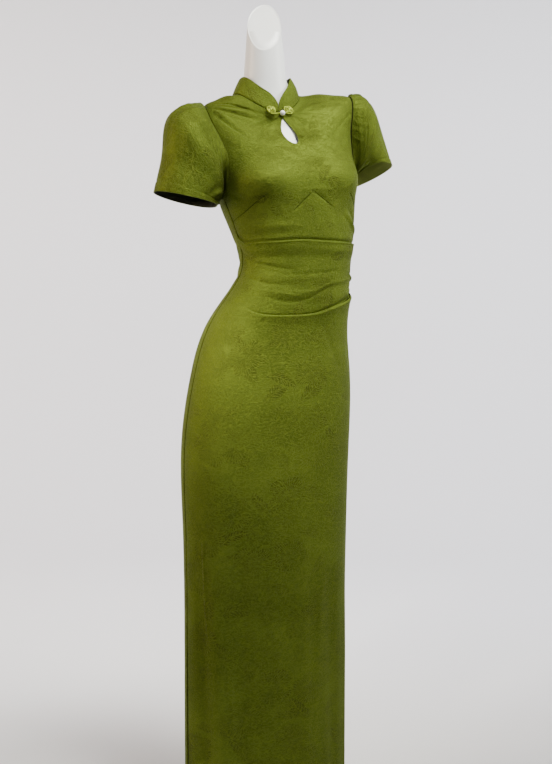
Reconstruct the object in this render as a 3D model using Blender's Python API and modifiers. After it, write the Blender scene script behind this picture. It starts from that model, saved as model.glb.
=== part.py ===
"""A cheongsam dress on a limbless dress form with a pole and a round base.

The dress is fitted and full length, with a stand collar, a teardrop opening under a
button-and-loop fastening, short puffed sleeves, a draped waist and two side slits.
Every panel is a thin closed wall on one smooth figure, so neighbours meet edge to edge.
Metres, +Z up, the front faces -Y and the wearer's right is -X.
The origin is on the floor under the middle of the base.
"""
import math
from collections import namedtuple

import bmesh
import bpy
import numpy as np

# Driving dimensions of the cloth and its panels
CLOTH = 0.0016
SEAM_GAP = 0.0003
LAP = CLOTH + 0.0005
HEM_HEIGHT = 0.045
SLIT_TOP = 0.520
SLIT_OPENING = 0.0045
SLIT_REACH = 0.100
WAIST_FOLD = 1.116
WAIST_LAP = 0.012
SKIRT_LAP = 0.010
LAP_SLOPE = 0.014
PANEL_COLUMNS = 25
BACK_COLUMNS = 11

# The opening below the fastening; the span turns metres across into degrees there
KEYHOLE_TOP = 1.371
KEYHOLE_BOTTOM = 1.312
KEYHOLE_HALF_WIDTH = 0.0090
KEYHOLE_SPAN = 0.085

# The collar: its front corners are rounded down over an angle to a share of its height
COLLAR_CORNER = 26.0
COLLAR_FRONT_HEIGHT = 0.30
COLLAR_FRONT_GAP = 0.25

# The sleeves
SLEEVE_STEPS = 40
ARMHOLE_GAP = 0.0007
CAP_OUT = CLOTH + 0.0012
CAP_STAND = 0.0030

# The fastening: a flat coil of cord on either side of a pearl, over the collar seam;
# the neck span turns metres across into degrees there
NECK_SPAN = 0.0715
CORD_RADIUS = 0.0017
COIL_PITCH = 0.0038
COIL_TURNS = 2.6
COIL_TURN_STEPS = 14
COIL_EYE = 0.0010
COIL_END = -1.22
COIL_DOME = 0.0016
COIL_LEAN = 34.0
COIL_ACROSS = {-1: 0.0190, 1: 0.0170}
COIL_BELOW = 0.0030
COIL_OUT = 0.0059
PEARL_RADIUS = 0.0054
PEARL_BELOW = 0.0125
PEARL_OUT = 0.0006

# The form, its pole and base
FORM_BOTTOM = 0.720
FORM_CLEAR = 0.0060
FORM_CORNER = 0.0025
FORM_REST = 0.0009
FORM_COLUMNS = 30
POLE_RADIUS = 0.0125
BASE_RADIUS = 0.160
BASE_THICKNESS = 0.010
BASE_RIM = 0.002

# Metres a radian on the flat pattern that the panels are cut from
FLAT_RADIUS = 0.130

GREEN = (0.190, 0.235, 0.022)
DARK_GREEN = (0.150, 0.190, 0.018)
WHITE = (0.830, 0.835, 0.840)
PEARL = (0.860, 0.850, 0.800)
STEEL = (0.560, 0.570, 0.580)

# The figure, bottom to top: level rings below, which fold over the shoulders into the
# neckline and then turn up into the stand collar. Height is at the sides; the drops
# lower a ring's front and back; roll, in degrees, raises the wearer's left side.
Ring = namedtuple("Ring", "height centre_x centre_y half_width front_depth back_depth "
                          "front_drop back_drop roll twist")
FIGURE = [
    (0.045, 0.002, 0.004, 0.166, 0.097, 0.098, 0.000, 0.000, 0.0, 0.0),
    (0.300, 0.002, 0.004, 0.168, 0.099, 0.100, 0.000, 0.000, 0.0, 0.0),
    (0.560, 0.003, 0.004, 0.172, 0.102, 0.106, 0.000, 0.000, 0.0, 0.0),
    (0.720, 0.005, 0.004, 0.176, 0.103, 0.114, 0.000, 0.000, 0.0, 0.0),
    (0.860, 0.017, 0.004, 0.166, 0.102, 0.120, 0.000, 0.000, 0.0, 0.0),
    (0.960, 0.029, -0.002, 0.1455, 0.094, 0.108, 0.000, 0.000, 0.0, 0.0),
    (1.010, 0.0445, -0.010, 0.130, 0.088, 0.092, 0.000, 0.000, 0.0, 0.0),
    (1.060, 0.057, -0.016, 0.116, 0.083, 0.082, 0.000, 0.000, 0.0, 0.0),
    (1.120, 0.058, -0.014, 0.121, 0.090, 0.096, 0.000, 0.000, 1.0, 0.0),
    (1.190, 0.052, -0.004, 0.135, 0.101, 0.118, 0.000, 0.000, 4.0, 0.0),
    (1.240, 0.048, 0.006, 0.143, 0.106, 0.120, 0.002, 0.000, 6.0, 0.0),
    (1.300, 0.048, 0.018, 0.149, 0.094, 0.112, 0.020, 0.004, 8.0, 0.0),
    (1.350, 0.047, 0.028, 0.155, 0.082, 0.100, 0.040, 0.014, 8.5, 4.0),
    (1.392, 0.047, 0.036, 0.161, 0.073, 0.086, 0.059, 0.030, 7.8, 9.0),
    (1.414, 0.046, 0.040, 0.155, 0.066, 0.075, 0.067, 0.040, 7.0, 10.5),
    (1.422, 0.040, 0.044, 0.130, 0.061, 0.067, 0.059, 0.034, 7.0, 7.5),
    (1.428, 0.033, 0.047, 0.098, 0.057, 0.059, 0.053, 0.018, 6.5, 2.0),
    (1.429, 0.0235, 0.048, 0.0715, 0.053, 0.053, 0.045, 0.000, 6.0, -4.0),
    (1.439, 0.0230, 0.048, 0.0665, 0.052, 0.051, 0.045, 0.002, 6.0, -4.0),
    (1.462, 0.022, 0.046, 0.0535, 0.047, 0.047, 0.042, 0.002, 5.0, -4.0),
]
SHOULDER_ROW = 14
NECKLINE_ROW = 17

# How much fuller than an ellipse the rings are
FULLNESS = 0.030

# The two cups of the bust, as soft bulges of the figure: angle and height of the middle,
# how far they stand out, and their spread in degrees and in metres
BUST_ANGLE = 40.0
BUST_HEIGHT = 1.242
BUST_OUT = 0.022
BUST_SPREAD = 22.0
BUST_TALL = 0.040
BUST_SIDEWAYS = 0.6

# The right armhole on the figure, from its top forwards and round
ArmholePoint = namedtuple("ArmholePoint", "angle height")
ARMHOLE = [
    (-90.0, 1.420),
    (-72.0, 1.404),
    (-65.0, 1.370),
    (-66.0, 1.320),
    (-72.0, 1.262),
    (-90.0, 1.212),
    (-110.0, 1.262),
    (-116.0, 1.320),
    (-116.0, 1.370),
    (-108.0, 1.404),
]

# Top edge of the skirt front, which climbs towards the wearer's left side seam
FoldPoint = namedtuple("FoldPoint", "angle height")
SKIRT_FOLD = [
    (-90.0, 0.986),
    (-60.0, 0.974),
    (-30.0, 0.968),
    (0.0, 0.970),
    (30.0, 0.977),
    (60.0, 0.990),
    (90.0, 1.008),
]

# Soft ridges (rise above 0) and troughs, each a curve through three places a, b and c:
# first the waist's, which run round it, then the skirt's, which run down to the hem
Fold = namedtuple("Fold", "rise spread angle_a height_a angle_b height_b angle_c height_c")
WAIST_FOLDS = [
    (0.0025, 0.008, -76, 1.060, -8, 1.044, 86, 1.052),
    (-0.0035, 0.009, -74, 1.043, -15, 1.026, 88, 1.044),
    (0.0028, 0.008, -66, 1.022, -8, 1.008, 86, 1.036),
    (-0.0032, 0.008, -64, 1.006, -5, 0.994, 88, 1.027),
    (-0.0022, 0.014, -70, 1.088, 5, 1.082, 84, 1.080),
]
SKIRT_FOLDS = [
    (0.0040, 0.012, -58, 0.560, -50, 0.300, -46, 0.060),
    (-0.0045, 0.014, -72, 0.500, -64, 0.300, -60, 0.060),
    (-0.0045, 0.015, -36, 0.780, -34, 0.450, -30, 0.060),
    (0.0040, 0.016, 6, 0.640, 10, 0.350, 14, 0.060),
    (-0.0045, 0.016, 34, 0.520, 38, 0.300, 42, 0.060),
    (0.0035, 0.013, 60, 0.450, 62, 0.260, 64, 0.060),
    (0.0040, 0.016, 118, 0.600, 122, 0.330, 126, 0.060),
    (-0.0045, 0.016, 146, 0.560, 150, 0.300, 152, 0.060),
    (0.0040, 0.016, -122, 0.560, -124, 0.300, -128, 0.060),
    (-0.0045, 0.016, -146, 0.620, -150, 0.330, -154, 0.060),
]

# Each sleeve in the world: the outer line from the cap down to the hem, the under line
# from the armhole's bottom to the hem, and half its depth from front to back
SleeveRing = namedtuple("SleeveRing", "outer_x outer_z under_x under_z half_depth centre_y front_rise")
SLEEVES = {
    "sleeve_right": [
        (-0.144, 1.3875, -0.0930, 1.2060, 0.060, 0.036, 0.000),
        (-0.172, 1.3810, -0.0960, 1.2020, 0.066, 0.035, 0.000),
        (-0.1965, 1.352, -0.0980, 1.1980, 0.068, 0.033, -0.001),
        (-0.2045, 1.300, -0.1000, 1.1940, 0.064, 0.032, -0.002),
        (-0.2120, 1.258, -0.1015, 1.1905, 0.061, 0.031, -0.004),
        (-0.2235, 1.211, -0.1030, 1.1870, 0.058, 0.030, -0.005),
    ],
    "sleeve_left": [
        (0.217, 1.4445, 0.1970, 1.2560, 0.056, 0.020, 0.000),
        (0.2345, 1.437, 0.1980, 1.2560, 0.062, 0.021, 0.002),
        (0.253, 1.414, 0.1985, 1.2555, 0.065, 0.023, 0.004),
        (0.270, 1.374, 0.1990, 1.2550, 0.064, 0.026, 0.007),
        (0.2885, 1.330, 0.1995, 1.2545, 0.061, 0.028, 0.010),
        (0.305, 1.294, 0.2000, 1.2540, 0.058, 0.030, 0.013),
    ],
}
SLEEVE_ROWS_SMOOTHED = 7

# The gathers of the sleeve caps, as soft pleats: angle from the top towards the front,
# width in degrees and rise; they fade over the first rings
Pleat = namedtuple("Pleat", "angle width rise")
PLEATS = [
    (-62.0, 9.0, 0.0030),
    (-38.0, 8.0, 0.0036),
    (-15.0, 7.0, 0.0042),
    (8.0, 7.0, 0.0040),
    (30.0, 8.0, 0.0036),
    (56.0, 9.0, 0.0030),
]
PLEAT_RINGS = 3.2

# The form's rings below the shoulder, then its clearances from the shoulder to the neck
FORM_HEIGHTS = [FORM_BOTTOM, 0.760, 0.820, 0.880, 0.940, 0.990, 1.040, 1.090, 1.140, 1.180,
                1.210, 1.240, 1.270, 1.310, 1.350, 1.380]
FORM_TOP_CLEARS = [FORM_CORNER, FORM_REST, FORM_CORNER, 0.006, 0.009]

# The form's neck above the shoulders, cut off by a slanted plane
NECK = [
    (1.452, 0.0202, 0.0465, 0.0440, 0.0425, 0.0425, 0.000, 0.000, 7.0, 0.0),
    (1.500, 0.0190, 0.0450, 0.0400, 0.0390, 0.0390, 0.000, 0.000, 7.0, 0.0),
    (1.564, 0.0175, 0.0430, 0.0340, 0.0335, 0.0335, 0.000, 0.000, 7.0, 0.0),
]
NECK_CUT_HEIGHT = 1.567
NECK_CUT_SLOPE = 1.66
NECK_CUT_TURN = -24.0
NECK_ROWS = 5


def natural_spline(knots, values):
    """Second derivatives of a natural cubic through each column of values."""
    count = len(knots)
    steps = np.diff(knots)
    system = np.eye(count)
    right = np.zeros_like(values)
    for row in range(1, count - 1):
        system[row, row - 1:row + 2] = (
            steps[row - 1], 2 * (steps[row - 1] + steps[row]), steps[row])
        right[row] = 6 * ((values[row + 1] - values[row]) / steps[row]
                          - (values[row] - values[row - 1]) / steps[row - 1])
    return np.linalg.solve(system, right)


def spline_between(values, bends, row, low, high, step=1.0):
    """Values of a natural cubic at shares low and high of the way between two rows."""
    return (low * values[row] + high * values[row + 1]
            + ((low ** 3 - low) * bends[row] + (high ** 3 - high) * bends[row + 1]) * step ** 2 / 6)


class Rings:
    """A smooth surface through a table of rings; a level is a distance up it."""

    def __init__(self, rows, bust=False):
        self.rows = np.array(rows, float)
        shape = self.rows[:, [0, 3, 4]] * (1.0, 1.0, 0.5)
        self.levels = np.concatenate([[0.0], np.cumsum(
            np.linalg.norm(np.diff(shape, axis=0), axis=1))])
        self.bends = natural_spline(self.levels, self.rows)
        self.bust = bust

    def ring(self, level):
        """The table's columns at any level."""
        level = np.asarray(level, float)
        row = np.clip(np.searchsorted(self.levels, level) - 1, 0, len(self.levels) - 2)
        step = self.levels[row + 1] - self.levels[row]
        low = ((self.levels[row + 1] - level) / step)[..., None]
        high = ((level - self.levels[row]) / step)[..., None]
        mixed = spline_between(self.rows, self.bends, row, low, high, step[..., None])
        return Ring(*np.moveaxis(mixed, -1, 0))

    def level_at(self, height):
        return np.interp(height, self.rows[:, 0], self.levels)

    def base(self, angle, level):
        """The bare surface; angle is in degrees, 0 at centre front, 90 at wearer's left."""
        ring = self.ring(np.asarray(level, float) + 0 * np.asarray(angle, float))
        turn = np.radians(np.asarray(angle, float))
        roll, twist = np.radians(ring.roll), np.radians(ring.twist)
        sine, cosine = np.sin(turn), np.cos(turn)
        ahead = cosine > 0
        full = 1 + FULLNESS * np.sin(2 * turn) ** 2
        sideways = ring.half_width * sine * full
        forward = np.where(ahead, ring.front_depth, ring.back_depth) * cosine * full
        rise = (np.sin(roll) * sideways
                - np.where(ahead, ring.front_drop, ring.back_drop) * cosine ** 2)
        if self.bust:
            bulge = 0
            for side in (-1, 1):
                bulge = bulge + np.exp(-((angle - side * BUST_ANGLE) / BUST_SPREAD) ** 2)
            bulge = BUST_OUT * bulge * np.exp(-((ring.height - BUST_HEIGHT) / BUST_TALL) ** 2)
            sideways = sideways + BUST_SIDEWAYS * bulge * sine
            forward = forward + bulge * cosine
        sideways = sideways * np.cos(roll)
        return np.stack([ring.centre_x + sideways * np.cos(twist) - forward * np.sin(twist),
                         ring.centre_y - forward * np.cos(twist) - sideways * np.sin(twist),
                         ring.height + rise], axis=-1)

    def point(self, angle, level, out=0.0):
        """A point moved out from the surface along its normal."""
        turn, climb = 0.2, 0.0004
        around = self.base(np.add(angle, turn), level) - self.base(np.add(angle, -turn), level)
        level = np.asarray(level, float)
        upward = self.base(angle, level + climb) - self.base(angle, level - climb)
        normal = np.cross(around, upward)
        normal /= np.linalg.norm(normal, axis=-1, keepdims=True)
        return self.base(angle, level) + np.asarray(out, float)[..., None] * normal

    def edge_angle(self, angle, level, toward):
        """The angle half a seam gap away from a seam, on the side given by toward."""
        turn = 0.2
        here = self.base(angle + toward * turn, level)
        speed = np.linalg.norm(here - self.base(angle, level), axis=-1) / turn
        return angle + toward * 0.5 * SEAM_GAP / speed


figure = Rings(FIGURE, bust=True)
NECKLINE = figure.levels[NECKLINE_ROW]

# Levels that neighbouring panels share, so that their edges match along a seam
LOWER_LEVELS = figure.level_at([HEM_HEIGHT, 0.120, 0.200, 0.280, 0.360, 0.440, 0.520, 0.590,
                                0.660, 0.720, 0.775, 0.825, 0.870, 0.910, 0.940])
UPPER_LEVELS = np.concatenate([
    figure.level_at([0.965, 0.988, 1.010, 1.032, 1.054, 1.078, 1.100, 1.120, 1.142, 1.167, 1.192,
                     1.217, 1.242, 1.267, 1.292, 1.316, 1.340]),
    np.linspace(figure.level_at(1.366), NECKLINE - SEAM_GAP / 2, 9)])


def drape(angle, level):
    """How far the folds move the cloth out; each fades at its ends, or at its top only."""
    height = figure.ring(level).height
    moved = np.zeros(np.broadcast(angle, level).shape)
    for fold in map(Fold._make, WAIST_FOLDS):
        share = np.clip((angle - fold.angle_a) / (fold.angle_c - fold.angle_a), 0, 1)
        middle = (fold.angle_b - fold.angle_a) / (fold.angle_c - fold.angle_a)
        curve = np.polyfit([0, middle, 1], [fold.height_a, fold.height_b, fold.height_c], 2)
        apart = height - np.polyval(curve, share)
        moved += fold.rise * np.sqrt(np.sin(np.pi * share)) * np.exp(-(apart / fold.spread) ** 2)
    for fold in map(Fold._make, SKIRT_FOLDS):
        share = np.clip((height - fold.height_a) / (fold.height_c - fold.height_a), 0, 1)
        middle = (fold.height_b - fold.height_a) / (fold.height_c - fold.height_a)
        curve = np.polyfit([0, middle, 1], [fold.angle_a, fold.angle_b, fold.angle_c], 2)
        apart = np.radians(angle - np.polyval(curve, share)) * FLAT_RADIUS
        faded = np.sin(np.pi * np.minimum(share, 0.5))
        moved += fold.rise * faded * np.exp(-(apart / fold.spread) ** 2)
    return moved


def ramp(value, start, length):
    """0 up to start, then rising evenly to 1 over a length."""
    return np.clip((value - start) / length, 0, 1)


def material(name, color, roughness, metallic=0.0):
    made = bpy.data.materials.new(name)
    made.use_nodes = True
    shader = made.node_tree.nodes["Principled BSDF"]
    shader.inputs["Base Color"].default_value = (*color, 1.0)
    shader.inputs["Roughness"].default_value = roughness
    shader.inputs["Metallic"].default_value = metallic
    made.diffuse_color = (*color, 1.0)
    return made


def add_object(name, mesh, collection, finish=None, smooth=True):
    made = bpy.data.objects.new(name, mesh)
    collection.objects.link(made)
    if finish:
        mesh.materials.append(finish)
    if smooth:
        mesh.shade_smooth()
        mesh.set_sharp_from_angle(angle=math.radians(40))
    return made


def mesh_from(name, points, faces):
    mesh = bpy.data.meshes.new(name)
    mesh.from_pydata([tuple(point) for point in points], [],
                     [tuple(int(i) for i in face) for face in faces])
    mesh.validate()
    return mesh


def strip_faces(ring_a, ring_b, closed):
    """Quads between two rows of point numbers."""
    count = len(ring_a)
    last = count if closed else count - 1
    return [(ring_a[i], ring_a[(i + 1) % count], ring_b[(i + 1) % count], ring_b[i])
            for i in range(last)]


def wall_mesh(name, outer, inner, around=False):
    """A closed wall between two grids [row, column]; around joins the last column to the first."""
    rows, columns = outer.shape[:2]
    points = np.concatenate([outer.reshape(-1, 3), inner.reshape(-1, 3)])
    number = np.arange(rows * columns).reshape(rows, columns)
    far = number + rows * columns
    faces = []
    for row in range(rows - 1):
        faces += strip_faces(number[row], number[row + 1], around)
        faces += strip_faces(far[row + 1], far[row], around)
    faces += strip_faces(far[0], number[0], around)
    faces += strip_faces(number[-1], far[-1], around)
    if not around:
        faces += strip_faces(number[:, 0], far[:, 0], False)
        faces += strip_faces(far[:, -1], number[:, -1], False)
    return mesh_from(name, points, faces)


def to_flat(angle, level):
    """A place on the figure as a point of the flat pattern."""
    return np.stack([np.radians(angle) * FLAT_RADIUS, np.asarray(level, float)], axis=-1)


def flat_outline_cutter(name, outline, collection):
    """A cutter through the flat pattern, from an outline of flat points."""
    count = len(outline)
    low = [(x, y, -0.01) for x, y in outline]
    high = [(x, y, 0.02) for x, y in outline]
    faces = [tuple(reversed(range(count))), tuple(range(count, 2 * count))]
    faces += [(i, (i + 1) % count, count + (i + 1) % count, count + i) for i in range(count)]
    area = sum(outline[i - 1][0] * outline[i][1] - outline[i][0] * outline[i - 1][1]
               for i in range(count))
    if area < 0:
        faces = [tuple(reversed(face)) for face in faces]
    made = add_object(name, mesh_from(name, low + high, faces), collection, smooth=False)
    made.hide_render = True
    made.display_type = "WIRE"
    return made


def closed_curve(table, count):
    """A smooth closed curve through a table's rows, as count points."""
    rows = np.array(table, float)
    rows = np.concatenate([rows[-3:], rows, rows[:3]])
    knots = np.arange(-3.0, len(table) + 3.0)
    bends = natural_spline(knots, rows)
    places = np.linspace(0, len(table), count + 1)[:-1]
    row = np.clip(np.floor(places).astype(int) + 3, 0, len(rows) - 2)
    high = (places - knots[row])[:, None]
    return spline_between(rows, bends, row, 1 - high, high)


def inset(outline, distance):
    """A closed flat outline drawn in by a distance, whichever way it runs."""
    before, after = np.roll(outline, 1, axis=0), np.roll(outline, -1, axis=0)
    along = after - before
    along /= np.linalg.norm(along, axis=1, keepdims=True)
    across = np.stack([-along[:, 1], along[:, 0]], axis=1)
    inward = outline.mean(axis=0) - outline
    across *= np.sign((across * inward).sum(axis=1, keepdims=True))
    return outline + distance * across


def armhole_outline(side):
    """The armhole on the flat pattern; side is -1 for the right and 1 for the left."""
    shoulder = FIGURE[SHOULDER_ROW][0]
    table = [to_flat(-side * place.angle, figure.level_at(min(place.height, shoulder)))
             for place in map(ArmholePoint._make, ARMHOLE)]
    return closed_curve(table, SLEEVE_STEPS)


def keyhole_outline(count):
    """A teardrop with its point up: wide and round below."""
    outline = []
    for step in range(count):
        turn = 2 * math.pi * step / count
        share = 0.5 * (1 - math.cos(turn))
        width = KEYHOLE_HALF_WIDTH * math.sin(turn) * math.sin(0.5 * turn) ** 0.9
        height = KEYHOLE_TOP + (KEYHOLE_BOTTOM - KEYHOLE_TOP) * share
        outline.append((width * FLAT_RADIUS / KEYHOLE_SPAN, front_level(height)))
    return outline


def front_level(height):
    """The level whose centre front point is at a height, above the bust."""
    levels = np.linspace(figure.level_at(BUST_HEIGHT), NECKLINE, 200)
    return float(np.interp(height, figure.base(0.0, levels)[:, 2], levels))


def wrap_panel(name, angles, levels, out, cutters, finish, collection):
    """A panel cut flat and then laid on the figure: out is how far its inside stands off."""
    flat = to_flat(angles, levels)
    inner = np.concatenate([flat, np.zeros(flat.shape[:2] + (1,))], axis=-1)
    mesh = wall_mesh(name, inner + (0, 0, CLOTH), inner)
    if cutters:
        made = add_object(name + "_flat", mesh, collection, smooth=False)
        for cutter in cutters:
            cut = made.modifiers.new(cutter.name, "BOOLEAN")
            cut.operation = "DIFFERENCE"
            cut.solver = "EXACT"
            cut.object = cutter
        graph = bpy.context.evaluated_depsgraph_get()
        mesh = bpy.data.meshes.new_from_object(made.evaluated_get(graph))
        bpy.data.objects.remove(made)
    shape = bmesh.new()
    shape.from_mesh(mesh)
    bmesh.ops.remove_doubles(shape, verts=shape.verts, dist=1e-6)
    bmesh.ops.triangulate(shape, faces=shape.faces, quad_method="BEAUTY", ngon_method="BEAUTY")
    shape.to_mesh(mesh)
    shape.free()
    places = np.array([tuple(vertex.co) for vertex in mesh.vertices])
    angle = np.degrees(places[:, 0] / FLAT_RADIUS)
    level = places[:, 1]
    moved = figure.point(angle, level, places[:, 2] + out(angle, level))
    mesh.vertices.foreach_set("co", moved.astype(np.float32).ravel())
    mesh.update()
    mesh.name = name
    return add_object(name, mesh, collection, finish)


def skirt_fold_level(angle):
    """Level of the skirt front's top edge."""
    places = FoldPoint(*np.array(SKIRT_FOLD).T)
    return figure.level_at(np.interp(angle, places.angle, places.height))


def slit(levels):
    """How far, in degrees, a panel's side edge is drawn back below the top of the slit."""
    down = ramp(-figure.ring(levels).height, -SLIT_TOP, SLIT_TOP - HEM_HEIGHT)
    return np.degrees(0.5 * SLIT_OPENING * down ** 0.7 / SLIT_REACH)


def make_front_bodice(cutters, finish, collection):
    hem = figure.level_at(WAIST_FOLD - WAIST_LAP)
    levels = np.concatenate([[hem], UPPER_LEVELS[UPPER_LEVELS > hem + LAP]])
    left = figure.edge_angle(-90.0, levels, 1)
    right = figure.edge_angle(90.0, levels, -1)
    share = np.linspace(0, 1, PANEL_COLUMNS)
    angles = left[:, None] + (right - left)[:, None] * share
    return wrap_panel("front_bodice", angles, levels[:, None] + 0 * angles,
                      lambda angle, level: 0 * angle, cutters, finish, collection)


def make_front_waist(finish, collection):
    """The draped waist: folded over the bodice's hem above and tucked in the skirt below."""
    top = figure.level_at(WAIST_FOLD)
    columns = np.linspace(-90.0, 90.0, PANEL_COLUMNS)
    low = skirt_fold_level(columns) - SKIRT_LAP
    down = np.array([0, WAIST_LAP, WAIST_LAP + 0.005, WAIST_LAP + 0.020])
    share = np.linspace(1, 0, 9)
    high = top - down[-1]
    levels = np.concatenate([top - down[:-1, None] + 0 * columns,
                             low + (high - low) * share[:, None]])[::-1]
    angles = columns[None, :] + 0 * levels
    angles[:, 0] = figure.edge_angle(-90.0, levels[:, 0], 1)
    angles[:, -1] = figure.edge_angle(90.0, levels[:, -1], -1)

    def out(angle, level):
        lapped = ramp(level, high, LAP_SLOPE)
        side = ramp(-np.abs(angle), -90, 12)
        settled = ramp(level, skirt_fold_level(angle) + 0.004, 0.012)
        return LAP * lapped + drape(angle, level) * side * settled * (1 - lapped)

    return wrap_panel("front_waist", angles, levels, out, [], finish, collection)


def make_front_skirt(finish, collection):
    """The skirt front, whose folded top edge laps over the waist."""
    columns = np.linspace(-90.0, 90.0, PANEL_COLUMNS)
    top = skirt_fold_level(columns)
    down = np.array([0, SKIRT_LAP + 0.004, SKIRT_LAP + 0.022])
    shared = LOWER_LEVELS[LOWER_LEVELS < top.min() - down[-1] - LAP_SLOPE / 2]
    levels = np.concatenate([shared[:, None] + 0 * columns, top - down[::-1, None]])
    angles = columns[None, :] + 0 * levels
    edge = slit(levels[:, 0])
    angles[:, 0] = figure.edge_angle(-90.0, levels[:, 0], 1) + edge
    angles[:, -1] = figure.edge_angle(90.0, levels[:, -1], -1) - edge

    def out(angle, level):
        lapped = ramp(level, skirt_fold_level(angle) - down[-1], down[-1] - down[1])
        side = ramp(-np.abs(angle), -90, 10)
        return LAP * lapped + drape(angle, level) * side * (1 - lapped)

    return wrap_panel("front_skirt", angles, levels, out, [], finish, collection)


def make_back(side, cutters, finish, collection):
    """Half the back, hem to neckline; the halves meet at the centre back seam."""
    levels = np.concatenate([LOWER_LEVELS, UPPER_LEVELS])
    outer = figure.edge_angle(side * 90.0, levels, side) + side * slit(levels)
    middle = figure.edge_angle(side * 180.0, levels, -side)
    left, right = (outer, middle) if side > 0 else (middle, outer)
    angles = left[:, None] + (right - left)[:, None] * np.linspace(0, 1, BACK_COLUMNS)

    def out(angle, level):
        seams = ramp(np.abs(angle), 90, 10) * ramp(-np.abs(angle), -180, 10)
        return drape(angle, level) * seams

    return wrap_panel("back_left" if side > 0 else "back_right", angles,
                      levels[:, None] + 0 * angles, out, cutters, finish, collection)


def make_collar(finish, collection):
    """A stand collar, one band whose two front corners are rounded down to the opening."""
    low = NECKLINE + SEAM_GAP / 2
    high = figure.levels[-1]
    gap = float(figure.edge_angle(0.0, np.array(low), 1)) + COLLAR_FRONT_GAP
    front, back = np.linspace(7.5, 90, 12), np.linspace(90, 270, 21)
    angles = np.concatenate([[gap], front, back[1:-1], 360 - front[::-1], [360 - gap]])
    from_front = np.minimum(angles, 360 - angles)
    corner = np.clip(from_front / COLLAR_CORNER, 0, 1)
    top = COLLAR_FRONT_HEIGHT + (1 - COLLAR_FRONT_HEIGHT) * np.sqrt(1 - (1 - corner) ** 2)
    share = np.linspace(0, 1, 5)[:, None]
    levels = low + (high - low) * top[None, :] * share
    grid = angles[None, :] + 0 * levels
    inner = figure.point(grid, levels, 0 * levels)
    outer = figure.point(grid, levels, CLOTH + 0 * levels)
    return add_object("collar", wall_mesh("collar", outer, inner), collection, finish)


def sleeve_ring(row, turn, swell):
    """One ring of a sleeve; turn runs from the top over the front to the underside."""
    top = np.array([row.outer_x, 0.0, row.outer_z])
    under = np.array([row.under_x, 0.0, row.under_z])
    middle, reach = (top + under) / 2, (top - under) / 2
    cosine, sine = np.cos(turn)[:, None], np.sin(turn)[:, None]
    ring = middle + reach * cosine * (1 + swell / np.linalg.norm(reach))
    ring[:, 1] = row.centre_y - (sine * (row.half_depth + swell)).ravel()
    ring[:, 2] += row.front_rise * sine.ravel()
    return ring


def smooth_rings(rings):
    """More rings between the ones given, on a smooth curve through each point's places."""
    count = len(rings)
    flat = rings.reshape(count, -1)
    bends = natural_spline(np.arange(count, dtype=float), flat)
    places = np.concatenate([[0, 1, 1.5], np.linspace(2, count - 1, SLEEVE_ROWS_SMOOTHED)])
    row = np.clip(np.floor(places).astype(int), 0, count - 2)
    high = (places - row)[:, None]
    flat = spline_between(flat, bends, row, 1 - high, high)
    return flat.reshape(len(places), -1, 3)


def make_sleeve(side, finish, collection):
    """A puffed sleeve: its seam sits in the armhole, its cap is pleated, its hem open."""
    name = "sleeve_left" if side > 0 else "sleeve_right"
    outline = armhole_outline(side)
    turn = np.linspace(0, 2 * math.pi, SLEEVE_STEPS + 1)[:-1]
    from_top = np.degrees((turn + math.pi) % (2 * math.pi) - math.pi)
    gather = 0
    for pleat in map(Pleat._make, PLEATS):
        gather = gather + pleat.rise * np.exp(-((from_top - pleat.angle) / pleat.width) ** 2)
    stand = CAP_OUT + CAP_STAND * np.maximum(0, np.cos(turn)) ** 2
    walls = []
    for inward in (0.0, CLOTH):
        edge = inset(outline, ARMHOLE_GAP + inward)
        angle, level = np.degrees(edge[:, 0] / FLAT_RADIUS), edge[:, 1]
        rings = [figure.point(angle, level, SEAM_GAP + 0 * angle),
                 figure.point(angle, level, stand)]
        for number, row in enumerate(map(SleeveRing._make, SLEEVES[name])):
            faded = max(0.0, 1 - number / PLEAT_RINGS)
            rings.append(sleeve_ring(row, turn, (gather * faded - inward)[:, None]))
        walls.append(smooth_rings(np.array(rings)))
    outer, inner = walls
    if side > 0:
        outer, inner = outer[:, ::-1], inner[:, ::-1]
    return add_object(name, wall_mesh(name, outer[::-1], inner[::-1], around=True),
                      collection, finish)


def tube(name, points, radius, finish, collection):
    """A round cord along points, as a mesh with closed ends."""
    curve = bpy.data.curves.new(name, "CURVE")
    curve.dimensions = "3D"
    curve.bevel_depth = radius
    curve.bevel_resolution = 1
    curve.use_fill_caps = True
    line = curve.splines.new("POLY")
    line.points.add(len(points) - 1)
    for place, point in zip(line.points, points):
        place.co = (*point, 1.0)
    temporary = bpy.data.objects.new(name + "_line", curve)
    collection.objects.link(temporary)
    graph = bpy.context.evaluated_depsgraph_get()
    mesh = bpy.data.meshes.new_from_object(temporary.evaluated_get(graph))
    bpy.data.objects.remove(temporary)
    shape = bmesh.new()
    shape.from_mesh(mesh)
    bmesh.ops.remove_doubles(shape, verts=shape.verts, dist=1e-6)
    bmesh.ops.recalc_face_normals(shape, faces=shape.faces)
    shape.to_mesh(mesh)
    shape.free()
    mesh.name = name
    return add_object(name, mesh, collection, finish)


def on_front(across, below, out):
    """A point on the front: metres across from the centre and below the collar seam."""
    return figure.point(math.degrees(across / NECK_SPAN), NECKLINE - below, CLOTH + out)


def pearl_place():
    return on_front(0.0, PEARL_BELOW, PEARL_RADIUS + PEARL_OUT)


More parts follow.
